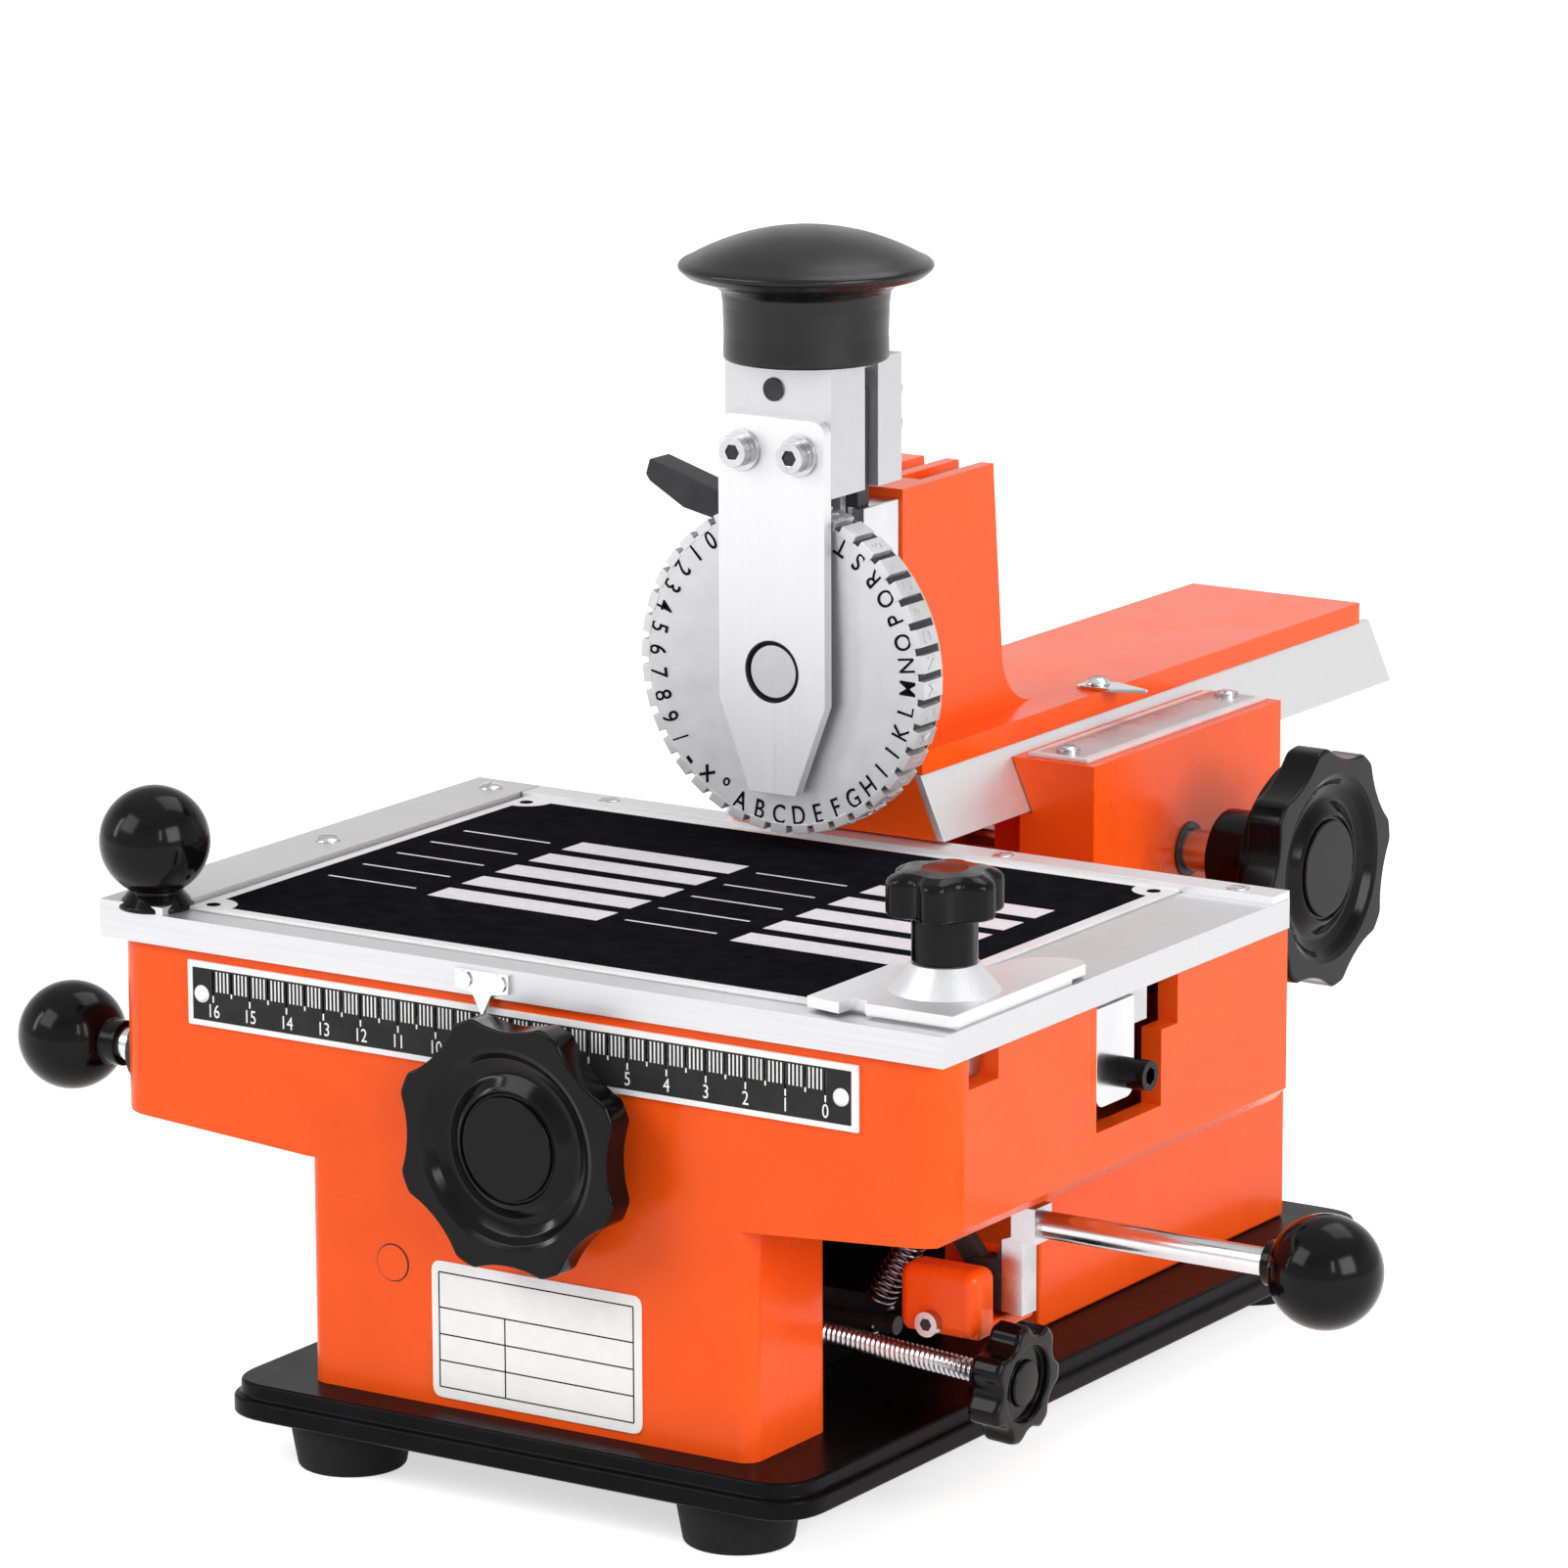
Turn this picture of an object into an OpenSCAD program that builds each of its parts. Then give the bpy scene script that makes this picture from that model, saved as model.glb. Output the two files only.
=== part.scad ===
// Metal tag embosser: a hand machine that presses letters into name plates.
// A type wheel hangs from a sliding head over a table that travels sideways.
// Heights start at the floor, Y runs from the operator to the back, X to the right.

/* [Base] */
// Width of the black base plate
base_w = 153; // [120:1:200]
// Sideways place of the base middle
base_mid_x = -3; // [-10:0.5:10]
// Depth of the base plate
base_d = 256; // [200:1:320]
// Height of the lower lip of the base plate
base_lip_h = 4.4; // [2:0.1:8]
// Height of the upper step of the base plate
base_step_h = 3.5; // [2:0.1:8]
// How far the upper step stands in from the lip
base_step_in = 1.6; // [0.5:0.1:4]
// Corner radius of the base plate
base_corner_r = 13; // [3:0.5:20]
// Diameter of a rubber foot where it meets the base
foot_d = 28; // [18:1:36]
// Diameter of a rubber foot on the floor
foot_tip_d = 24; // [14:1:34]
// Height of a rubber foot
foot_h = 11.5; // [6:0.5:20]
// Distance of a foot centre from the base side
foot_in_x = 25.3; // [16:0.1:40]
// Distance of a foot centre from the base front and back
foot_in_y = 17; // [15:1:40]

/* [Body] */
// Width of the upper casing
body_w = 217.5; // [180:0.5:260]
// Depth of the upper casing
body_d = 144.8; // [120:0.1:180]
// Height of the casing top over the floor
body_top = 113.5; // [100:0.5:130]
// Sideways place of the casing middle
body_mid_x = -4.75; // [-20:0.05:20]
// How far the casing front stands in from the base front
front_set = 11; // [4:0.5:20]
// Height of a wing's lower edge at its outer end
wing_out_z = 74; // [65:0.5:90]
// Height of the wings' lower edge at the pedestal
wing_in_z = 70.8; // [60:0.2:85]
// Wall thickness of the casing
wall = 5; // [3:0.5:8]
// Height of the casing floor inside
floor_z = 79; // [78:0.5:90]
// Radius of the casing's front corners in plan
body_corner_r = 8; // [1:0.5:12]
// Width of the pedestal
ped_w = 116.5; // [90:0.1:150]
// Sideways place of the pedestal middle
ped_mid_x = -2.7; // [-10:0.1:10]
// Depth of the front pedestal
ped_front_d = 31; // [18:1:50]
// Front of the rear pedestal
rear_front_y = 2; // [-20:1:20]
// Back of the rear pedestal
rear_back_y = 114.5; // [90:0.5:125]
// Right wall of the inner pedestal, where the lever space starts
inner_right_x = 30; // [10:1:45]
// Height of the rear pedestal's neck under the slideway
neck_top_z = 88; // [84:0.5:92]
// Diameter of the round plug in the pedestal front
plug_d = 8; // [4:0.5:14]
// Sideways place of the plug
plug_x = -38; // [-50:0.5:50]
// Height of the plug
plug_z = 50; // [30:0.5:65]

/* [Front scale] */
// Length of the front scale plate
scale_w = 175; // [120:1:200]
// Height of the front scale plate
scale_h = 14.6; // [8:0.1:18]
// Thickness of the front scale plate
scale_t = 1; // [0.5:0.1:2]
// Sideways place of the scale plate middle
scale_mid_x = -4.6; // [-20:0.1:20]
// Lower edge of the scale plate
scale_z = 96.8; // [90:0.1:98]

/* [Table] */
// Width of the table
table_w = 220; // [180:1:260]
// Height of the table top over the floor
table_top = 120.6; // [116:0.1:130]
// Gap between the table and the casing
table_gap = 0.3; // [0.2:0.05:1]
// How far the table stands out in front of the casing
table_over = 1.8; // [0:0.1:5]
// Sideways place of the table middle
table_mid_x = -5.6; // [-20:0.1:20]
// Width of a slide bar under the table
slide_w = 10; // [6:0.5:16]
// Depth of a slide bar under the table
slide_h = 6; // [5:0.1:12]
// Gap round a slide bar
slide_gap = 0.3; // [0.1:0.05:0.8]
// Width of the table rack
rack_w = 22; // [12:1:26]
// Distance of the rack's front edge from the casing front
rack_in = 64; // [57:0.5:77]
// Thickness of the clamp bar and of the rear fence
bar_t = 1.8; // [1:0.1:2]
// Width of the left clamp bar
clamp_bar_w = 17.6; // [10:0.2:24]
// Width of the rear fence
fence_w = 8; // [5:0.5:12]
// Length of the sample plate
plate_w = 178; // [80:1:190]
// Thickness of the sample plate
plate_t = 0.8; // [0.4:0.1:1.2]
// Diameter of the black balls
ball_d = 24.8; // [16:0.2:32]

/* [Corner clamp] */
// Distance of the clamp screw from the end of the sample plate
clamp_off = 8.5; // [6:0.5:13]
// Distance of the clamp screw from the casing front
clamp_in = 23; // [17:0.5:32]
// How far the clamp plate reaches back from its screw
clamp_reach = 37; // [20:1:45]
// Thickness of the clamp plate
clamp_t = 2.4; // [1.5:0.1:4]
// Diameter of the star knob
star_d = 25.6; // [20:0.2:36]
// Height of the star knob's head
star_h = 10.5; // [8:0.5:20]
// Diameter of the star knob's hub
star_hub_d = 14.3; // [10:0.1:20]
// Height of the star knob's hub
star_hub_h = 9.7; // [4:0.1:14]
// Diameter of the clamp stud
stud_d = 8; // [5:0.5:10]

/* [Handwheels] */
// Diameter of a handwheel
wheel_d = 58; // [45:1:75]
// Number of lobes on a handwheel
wheel_lobes = 8; // [5:1:12]
// Thickness of the front handwheel
front_wheel_t = 10.5; // [8:0.5:22]
// Thickness of the side handwheel
side_wheel_t = 12; // [8:0.5:20]
// Diameter of the handwheel shafts
shaft_d = 10; // [6:0.5:12]
// Radial play of a shaft in its bore
run_play = 0.05; // [0.01:0.01:0.1]
// Sideways place of the front shaft
front_shaft_x = 2; // [-10:0.1:10]
// Height of the front shaft
front_shaft_z = 84.5; // [82:0.5:92]
// Place of the side shaft from front to back
side_shaft_y = 107; // [95:0.5:115]
// Height of the side shaft
side_shaft_z = 107.5; // [104:0.5:112]
// Radius of a scallop between two lobes
scallop_r = 23.7; // [9:0.1:30]
// Depth of a scallop between two lobes
scallop_in = 3; // [1:0.1:4]
// Length of the side shaft that shows beside the slideway
side_show = 10.3; // [4:0.1:14]
// Length of the side handwheel's hub
side_hub_len = 16.2; // [8:0.2:24]
// Tooth size of the front pinion and the table rack
front_module = 2; // [1.5:0.1:2.2]
// Teeth on the front pinion
front_teeth = 19; // [14:1:22]
// Tooth size of the side pinion and the head rack
side_module = 1.5; // [1:0.1:1.8]
// Teeth on the side pinion
side_teeth = 18; // [14:1:22]

/* [Head] */
// Sideways place of the head's middle
head_x = -14; // [-30:0.5:10]
// Front end of the beam
beam_front_y = 25; // [20:0.5:40]
// Back end of the beam
beam_back_y = 232; // [200:1:260]
// Height of the beam top
beam_top = 143.3; // [140:0.1:150]
// Width of the beam top
beam_w = 48; // [40:0.5:56]
// Height of the dovetail's upper edge
tail_top = 138; // [132:0.1:142]
// Height of the dovetail's lower edge
tail_low = 123; // [122.8:0.1:128]
// Half width of the dovetail at its upper edge
tail_top_hw = 23.5; // [18:0.1:26]
// Half width of the dovetail at its lower edge
tail_low_hw = 30; // [26:0.1:36]
// How far the dovetail strips stand out behind the beam
strip_over = 6; // [0:0.5:10]
// Thickness of the bare dovetail strips
strip_t = 2; // [1:0.1:4]
// Gap between dovetail and slideway
way_gap = 0.3; // [0.1:0.05:0.6]
// Front end of the slideway
way_front_y = 63; // [50:1:70]
// Back end of the slideway
way_back_y = 151; // [130:1:170]
// Half width of the slideway
way_hw = 47; // [42:0.5:54]
// Height of the slideway top
way_top = 135.5; // [130:0.1:137]
// Height of the arm's top
arm_top = 202.2; // [190:0.1:215]
// Front of the arm
arm_front_y = 32.2; // [32:0.1:40]
// Back of the arm
arm_back_y = 76; // [60:0.2:90]
// Radius of the fillet behind the arm
arm_fillet_r = 14; // [4:0.5:20]
// Width of the arm
arm_w = 28.4; // [22:0.2:36]
// How far the arm's back leans in at the top
arm_draft = 4; // [0:0.5:8]
// Thickness of the ribs on the arm's top
rib_t = 3.4; // [2:0.2:5]
// Depth of the slots between the ribs
rib_deep = 8; // [2:0.5:12]

/* [Ram] */
// Width of the ram
ram_w = 28.4; // [22:0.2:34]
// Front of the ram
ram_front_y = 2; // [0:0.5:4]
// Front of the slot for the guide bar
slot_front_y = 16.2; // [15:0.1:18]
// Back of the slot for the guide bar
slot_back_y = 21.8; // [20:0.1:24]
// Back of the ram
ram_back_y = 31.8; // [30:0.1:36]
// Height of the ram's top
ram_top = 234; // [225:0.5:245]
// Height of the ram's lower end
ram_low = 204.6; // [200:0.1:210]
// Stroke of the ram
ram_stroke = 4; // [2:0.1:4]
// Diameter of the press knob's cap
cap_d = 58; // [45:0.5:70]
// Diameter of the press knob's neck
neck_d = 37; // [28:0.5:40]
// Height of the press knob's neck
neck_h = 14.5; // [8:0.5:24]
// Height from the neck to the cap's widest part
cap_low_h = 5.5; // [3:0.1:10]
// Height of the cap's dome
cap_dome_h = 8.4; // [6:0.1:16]
// Thickness of the wheel plate
arm_plate_t = 3; // [2:0.1:5]
// Top of the wheel plate
arm_plate_top = 222.4; // [215:0.2:228]
// Where the wheel plate starts to taper
arm_plate_taper_z = 157; // [145:0.5:170]
// Tip of the wheel plate
arm_plate_tip_z = 135.8; // [132:0.2:145]
// Width of the wheel plate's tip
arm_plate_tip_w = 12.4; // [4:0.2:20]

/* [Type wheel] */
// Diameter of the type wheel
type_d = 76.6; // [60:0.2:78]
// Thickness of the type wheel
type_t = 10.7; // [6:0.1:10.8]
// Height of the type wheel's centre
type_z = 164; // [160:0.1:168]
// Front of the type wheel
type_front_y = 3; // [2.4:0.1:4]
// Number of types round the wheel
type_count = 40; // [24:1:44]
// Width of the notch between two types
notch_w = 2.2; // [1:0.1:3]
// Depth of the notch between two types
notch_deep = 3.2; // [2:0.1:5]
// Diameter of the wheel axle
axle_d = 12; // [8:0.5:16]

/* [Levers] */
// Distance of the step lever from the front pedestal's back
lever_behind = 21; // [16:0.5:26]
// Height of the step lever's pivot
pivot_z = 52; // [50:0.5:54]
// Sideways place of the step lever's pivot
pivot_x = 82.5; // [78:0.5:84]
// Height of the step lever's rod
lever_rod_z = 66.5; // [62:0.5:67]
// Diameter of the step lever's rod
lever_rod_d = 6; // [4:0.5:9]
// Sideways place of the step lever's ball
lever_ball_x = 165.5; // [140:0.5:180]
// Diameter of the pivot pins
pin_d = 5; // [3:0.5:6]
// Distance of the spacing screw from the front pedestal's back
spacer_behind = 9; // [6:0.5:12]
// Height of the spacing screw where it leaves the inner wall
spacer_z = 39; // [38:0.5:45]
// Downward tilt of the spacing screw in degrees
spacer_tilt = 3.8; // [0:0.1:8]
// Diameter of the spacing screw
spacer_d = 5; // [4:0.5:8]
// Distance from the inner wall to the spacing knob
spacer_reach = 59.5; // [50:0.5:70]
// Diameter of the spacing knob
spacer_knob_d = 27; // [20:0.5:28]
// Height of the release rod
release_z = 85; // [82:0.5:88]
// Distance of the release rod from the casing front
release_in = 14; // [11:0.5:19]
// Diameter of the release rod
release_d = 8; // [5:0.5:9]
// Distance of the release ball from the casing's left end
release_out = 23; // [15:0.5:36]
// Upward tilt of the index lever in degrees
index_tilt = 17; // [0:1:20]
// Length of the index lever from its pivot
index_len = 25.5; // [20:0.5:36]

/* [Springs] */
// Wire diameter of the springs
wire_d = 0.8; // [0.5:0.05:1]
// Coil radius of the lever spring
lever_coil_r = 3.1; // [2.5:0.1:3.5]
// Curls of the lever spring
lever_curls = 11; // [8:1:14]
// Coil radius of the ram spring
ram_coil_r = 3.2; // [2.5:0.1:3.6]
// Curls of the ram spring
ram_curls = 9; // [6:1:12]

/* [Hidden] */
$fn = 64;
base_z = foot_h;
base_x0 = base_mid_x - base_w / 2;
base_x1 = base_mid_x + base_w / 2;
base_top = foot_h + base_lip_h + base_step_h;
front_y = front_set - base_d / 2;
body_x0 = body_mid_x - body_w / 2;
body_x1 = body_mid_x + body_w / 2;
body_back_y = front_y + body_d;
ped_x0 = ped_mid_x - ped_w / 2;
ped_x1 = ped_mid_x + ped_w / 2;
ped_back_y = front_y + ped_front_d;
lever_y = ped_back_y + lever_behind;
spacer_y = ped_back_y + spacer_behind;
release_y = front_y + release_in;
release_ball_x = body_x0 - release_out;
foot_x = base_w / 2 - foot_in_x;
foot_y = base_d / 2 - foot_in_y;
table_low = body_top + table_gap;
table_x0 = table_mid_x - table_w / 2;
table_x1 = table_mid_x + table_w / 2;
table_front_y = front_y - table_over;
slide_x0 = body_x0 + 2;
slide_x1 = body_x1 - 4;
short_slide_x0 = -33;
short_slide_x1 = 26;
slide_front_y = front_y + 10;
slide_rear_y = body_back_y - 10 - slide_w;
slide_low = table_low - slide_h;
guide_low = slide_low - slide_gap - 6;
guide_top = body_top - 3.5;
bar_top = table_top + bar_t;
plate_x0 = table_x0 + clamp_bar_w + 1;
plate_x1 = plate_x0 + plate_w;
plate_y0 = table_front_y + 8;
plate_y1 = body_back_y - fence_w;
plate_top = table_top + plate_t;
clamp_x = plate_x1 + clamp_off;
clamp_y = front_y + clamp_in;
clamp_low = plate_top;
clamp_top = clamp_low + clamp_t;
cone_top = clamp_top + 6;
star_low = cone_top + 0.3;
front_pitch_r = front_module * front_teeth / 2;
side_pitch_r = side_module * side_teeth / 2;
front_wheel_back_y = front_y - 3.5;
front_wheel_face_y = front_wheel_back_y - front_wheel_t;
rack_front_y = front_y + rack_in;
rack_x0 = slide_x0;
rack_x1 = body_x1 - 2;
way_side_x = head_x + way_hw;
side_bush_r = shaft_d / 2 + 1.5;
side_wheel_x0 = way_side_x + side_show + side_hub_len;
side_wheel_x1 = side_wheel_x0 + side_wheel_t;
way_low = neck_top_z;
way_mid_z = tail_low - way_gap;
tail_slope = (tail_low_hw - tail_top_hw) / (tail_top - tail_low);
head_rack_y0 = side_shaft_y - 6;
head_rack_y1 = side_shaft_y + 83;
head_rack_hw = 6;
head_rack_top = tail_low + 5.5;
mark_x = head_x + beam_w / 2 - 5;
mark_y = (way_front_y + way_back_y) / 2 + 6;
ram_x0 = head_x - ram_w / 2;
ram_x1 = head_x + ram_w / 2;
type_back_y = type_front_y + type_t;
rear_plate_y0 = type_back_y + 0.4;
guide_top_z = ram_low - ram_stroke - 0.4;
guide_bar_top = ram_top - 2.5 - ram_stroke - 0.4;
knob_y = (ram_front_y + ram_back_y) / 2 - 3;
bracket_x0 = 68;
bracket_x1 = 87.6;
bracket_low = 41.8;
bracket_top = 57;
bracket_front_y = lever_y - 13;
bracket_screw_x = 76.7;
bracket_screw_z = 44.9;
spring_post_x = inner_right_x + 25.6;
spring_post_r = pin_d / 2 - 0.4;
spring_post_z = 38;
spring_hole_x = pivot_x - 11.5;
spring_hole_z = 64;
lug_x = ram_x0 - 7.5;
lug_z = ram_low - 6.4;
ram_bore_y = 26.8;
ram_bore_top = 228;
release_rod_end = release_ball_x + ball_d / 2 - 1;
min_x = release_ball_x - ball_d / 2;
max_x = lever_ball_x + ball_d / 2;
min_y = front_wheel_face_y;
max_y = beam_back_y + strip_over;
origin_x = (min_x + max_x) / 2;
origin_y = (min_y + max_y) / 2;
orange = [0.93, 0.21, 0.04];
black_paint = [0.03, 0.03, 0.03];
black_plastic = [0.02, 0.02, 0.02];
bright = [0.78, 0.78, 0.79];
steel = [0.6, 0.6, 0.62];
dark_steel = [0.16, 0.16, 0.17];

module placed() {
  translate([-origin_x, -origin_y, 0]) children();
}

module box(x0, x1, y0, y1, z0, z1) {
  translate([x0, y0, z0]) cube([x1 - x0, y1 - y0, z1 - z0]);
}

module rod_x(x0, x1, y, z, r) {
  translate([x0, y, z]) rotate([0, 90, 0]) cylinder(h = x1 - x0, r = r);
}

module rod_y(x, y0, y1, z, r) {
  translate([x, y0, z]) rotate([-90, 0, 0]) cylinder(h = y1 - y0, r = r);
}

module rod_z(x, y, z0, z1, r) {
  translate([x, y, z0]) cylinder(h = z1 - z0, r = r);
}

module round_flat(w, d, r) {
  square([w - 2 * r, d], center = true);
  square([w, d - 2 * r], center = true);
  for (sx = [-1, 1])
    for (sy = [-1, 1])
      translate([sx * (w / 2 - r), sy * (d / 2 - r)]) circle(r = r);
}

module slab(x0, x1, y0, y1, z0, z1, r) {
  translate([(x0 + x1) / 2, (y0 + y1) / 2, z0])
    linear_extrude(height = z1 - z0) round_flat(x1 - x0, y1 - y0, r);
}

// A profile drawn in X and Z, run along Y from y0 to y1
module run_y(y0, y1, points) {
  translate([0, y1, 0]) rotate([90, 0, 0]) linear_extrude(height = y1 - y0) polygon(points);
}

// A profile drawn in Y and Z, run along X from x0 to x1
module run_x(x0, x1, points) {
  translate([x0, 0, 0]) rotate([90, 0, 90]) linear_extrude(height = x1 - x0) polygon(points);
}

module foot_spots() {
  for (sx = [-1, 1])
    for (sy = [-1, 1])
      translate([base_mid_x + sx * foot_x, sy * foot_y, 0]) children();
}

module base_plate() {
  color(black_paint) placed() difference() {
    union() {
      slab(base_x0, base_x1, -base_d / 2, base_d / 2, base_z, base_z + base_lip_h, base_corner_r);
      slab(base_x0 + base_step_in, base_x1 - base_step_in, base_step_in - base_d / 2,
        base_d / 2 - base_step_in, base_z + base_lip_h, base_top, base_corner_r - base_step_in);
    }
    foot_spots() translate([0, 0, base_z - 1]) cylinder(h = 7, r = 2);
  }
}

module rubber_feet() {
  color([0.05, 0.05, 0.05]) placed() foot_spots() difference() {
    cylinder(h = foot_h, r1 = foot_tip_d / 2, r2 = foot_d / 2);
    translate([0, 0, -1]) cylinder(h = foot_h + 2, r = 2);
    translate([0, 0, -1]) cylinder(h = 6, r = 5);
  }
}

module foot_screws() {
  color(steel) placed() foot_spots() difference() {
    union() {
      translate([0, 0, 2.4]) cylinder(h = 2.6, r = 4);
      translate([0, 0, 5]) cylinder(h = base_z + 1, r = 2);
    }
    translate([0, 0, 1]) cylinder(h = 2.6, r = 2, $fn = 6);
  }
}

// Where the slide bars, the rack and the stop pass through the casing ends
module casing_openings() {
  box(body_x0 - 1, body_x1 + 1, slide_front_y - 1, slide_front_y + slide_w + 1, slide_low - 1,
    body_top + 1);
  box(body_x1 - wall - 1, body_x1 + 1, rack_front_y - 2.6, rack_front_y + rack_w + 3, 85.5,
    body_top + 1);
  box(body_x1 - wall - 1, body_x1 + 1, rack_front_y + rack_w + 2, rack_front_y + rack_w + 10,
    body_top - 11, body_top + 1);
  box(body_x0 - 1, body_x0 + wall + 1, rack_front_y - 1, rack_front_y + rack_w + 1,
    front_shaft_z + front_pitch_r - 3, body_top + 1);
}

// Room for the front pinion in the casing floor and in the pedestal under it
module pinion_pit() {
  box(front_shaft_x - 23, front_shaft_x + 23, rack_front_y + 0.5, rack_front_y + rack_w - 0.5,
    front_shaft_z - front_pitch_r - 2.4, floor_z + 1);
}

module casing_profile() {
  polygon([[body_x0, body_top], [body_x0, wing_out_z + 3], [body_x0 + 3, wing_out_z], [ped_x0, wing_in_z],
    [ped_x1, wing_in_z], [body_x1 - 3, wing_out_z], [body_x1, wing_out_z + 3], [body_x1, body_top]]);
}

module body_casing() {
  color(orange) placed() difference() {
    union() {
      difference() {
        intersection() {
          translate([0, body_back_y, 0]) rotate([90, 0, 0]) linear_extrude(height = body_d) casing_profile();
          slab(body_x0, body_x1, front_y, body_back_y + 15, wing_in_z, body_top, body_corner_r);
        }
        box(body_x0 + wall, body_x1 - wall, front_y + wall, body_back_y - wall, floor_z, body_top + 1);
        casing_openings();
      }
      difference() {
        slab(ped_x0, ped_x1, front_y, ped_back_y, base_top, wing_in_z, 4);
        box(ped_x0 + wall, ped_x1 - wall, front_y + wall, ped_back_y - wall, base_top - 1, wing_in_z - 5);
      }
      box(front_shaft_x - 9, front_shaft_x + 9, rack_front_y + rack_w + 2, rack_front_y + rack_w + 11,
        floor_z, front_shaft_z + 8);
    }
    rod_y(front_shaft_x, front_y - 1, front_y + wall + 1, front_shaft_z, 8);
    rod_y(front_shaft_x, rack_front_y + rack_w, rack_front_y + rack_w + 9, front_shaft_z,
      shaft_d / 2 + run_play);
    rod_x(body_x0 - 1, body_x0 + wall + 1, release_y, release_z, 6.5);
    rod_y(plug_x, front_y - 1, front_y + wall + 1, plug_z, plug_d / 2);
    pinion_pit();
  }
}

module inner_pedestal() {
  color(orange) placed() difference() {
    box(ped_x0, inner_right_x, ped_back_y, rear_front_y, base_top, wing_in_z);
    translate([inner_right_x, spacer_y, spacer_z]) rotate([0, 90 + spacer_tilt, 0])
      translate([0, 0, -14]) cylinder(h = 20, r = spacer_d / 2 + run_play);
    rod_x(inner_right_x - 10, inner_right_x + 1, lever_y, spring_post_z, spring_post_r);
    pinion_pit();
  }
}

module rear_pedestal() {
  color(orange) placed() union() {
    box(ped_x0, ped_x1, rear_front_y, rear_back_y, base_top, wing_in_z);
    box(head_x - 40, head_x + 54, body_back_y, rear_back_y - 2, wing_in_z, neck_top_z);
  }
}

module pedestal_plug() {
  color(orange) placed() rod_y(plug_x, front_y - 0.3, front_y + wall, plug_z, plug_d / 2);
}

module scale_plate() {
  color([0.05, 0.05, 0.05]) placed() difference() {
    box(scale_mid_x - scale_w / 2, scale_mid_x + scale_w / 2, front_y - scale_t, front_y, scale_z,
      scale_z + scale_h);
    for (s = [-1, 1])
      rod_y(scale_mid_x + s * (scale_w / 2 - 4), front_y - 3, front_y + 1, scale_z + scale_h / 2, 1.2);
  }
}

module scale_rivets() {
  color(bright) placed() for (s = [-1, 1]) {
    rod_y(scale_mid_x + s * (scale_w / 2 - 4), front_y - scale_t, front_y, scale_z + scale_h / 2, 1.2);
    rod_y(scale_mid_x + s * (scale_w / 2 - 4), front_y - scale_t - 0.6, front_y - scale_t,
      scale_z + scale_h / 2, 2.2);
  }
}

// Two channels that carry the slide bars, fixed along the casing's front and back walls
module slide_guides() {
  color(steel) placed() difference() {
    union() {
      box(body_x0 + wall, body_x1 - wall, front_y + wall, slide_front_y + slide_w + 5, guide_low, guide_top);
      box(body_x0 + wall, body_x1 - wall, slide_rear_y - 5, body_back_y - wall, guide_low, guide_top);
    }
    for (y = [slide_front_y, slide_rear_y])
      box(body_x0, body_x1, y - slide_gap, y + slide_w + slide_gap, slide_low - slide_gap, body_top);
  }
}

module way_base() {
  color(orange) placed() difference() {
    box(head_x - way_hw, way_side_x, way_front_y, way_back_y, way_low, way_mid_z);
    box(head_x - 8, head_x + 8, way_front_y - 1, way_back_y + 1, 92, way_mid_z + 1);
    box(head_x - 27, head_x + 27, way_front_y - 1, way_front_y + 20, 100, way_mid_z + 1);
    rod_x(head_x - 20, way_side_x + 1, side_shaft_y, side_shaft_z, shaft_d / 2 + run_play);
    rod_x(way_side_x - 10, way_side_x + 1, side_shaft_y, side_shaft_z, side_bush_r);
  }
}

module way_blocks() {
  in_low = tail_low_hw + (tail_low - way_mid_z) * tail_slope + way_gap;
  in_top = tail_top_hw + (tail_top - way_top) * tail_slope + way_gap;
  color(orange) placed() difference() {
    for (s = [-1, 1])
      run_y(way_front_y, way_back_y, [[head_x + s * in_low, way_mid_z], [head_x + s * way_hw, way_mid_z],
        [head_x + s * way_hw, way_top], [head_x + s * in_top, way_top]]);
    for (y = [way_front_y + 7, way_back_y - 7])
      rod_z(head_x + 36, y, way_top - 6, way_top + 1, 1.5);
  }
}

module way_scale() {
  color(bright) placed() difference() {
    box(head_x + 28, head_x + 44, way_front_y + 2, way_back_y - 2, way_top, way_top + 1);
    for (y = [way_front_y + 7, way_back_y - 7])
      rod_z(head_x + 36, y, way_top - 1, way_top + 2, 1.5);
  }
}

module frame_screws() {
  color(steel) placed() {
    for (y = [way_front_y + 7, way_back_y - 7]) difference() {
      union() {
        rod_z(head_x + 36, y, way_top - 6, way_top + 1, 1.5);
        rod_z(head_x + 36, y, way_top + 1, way_top + 2, 2.8);
      }
      box(head_x + 33, head_x + 39, y - 0.4, y + 0.4, way_top + 1.4, way_top + 3);
    }
    difference() {
      union() {
        rod_y(bracket_screw_x, bracket_front_y, bracket_front_y + 6, bracket_screw_z, 1.5);
        rod_y(bracket_screw_x, bracket_front_y - 3, bracket_front_y, bracket_screw_z, 2.8);
      }
      translate([bracket_screw_x, bracket_front_y - 1.5, bracket_screw_z]) rotate([90, 0, 0])
        cylinder(h = 3, r = 1.5, $fn = 6);
    }
  }
}

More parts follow.
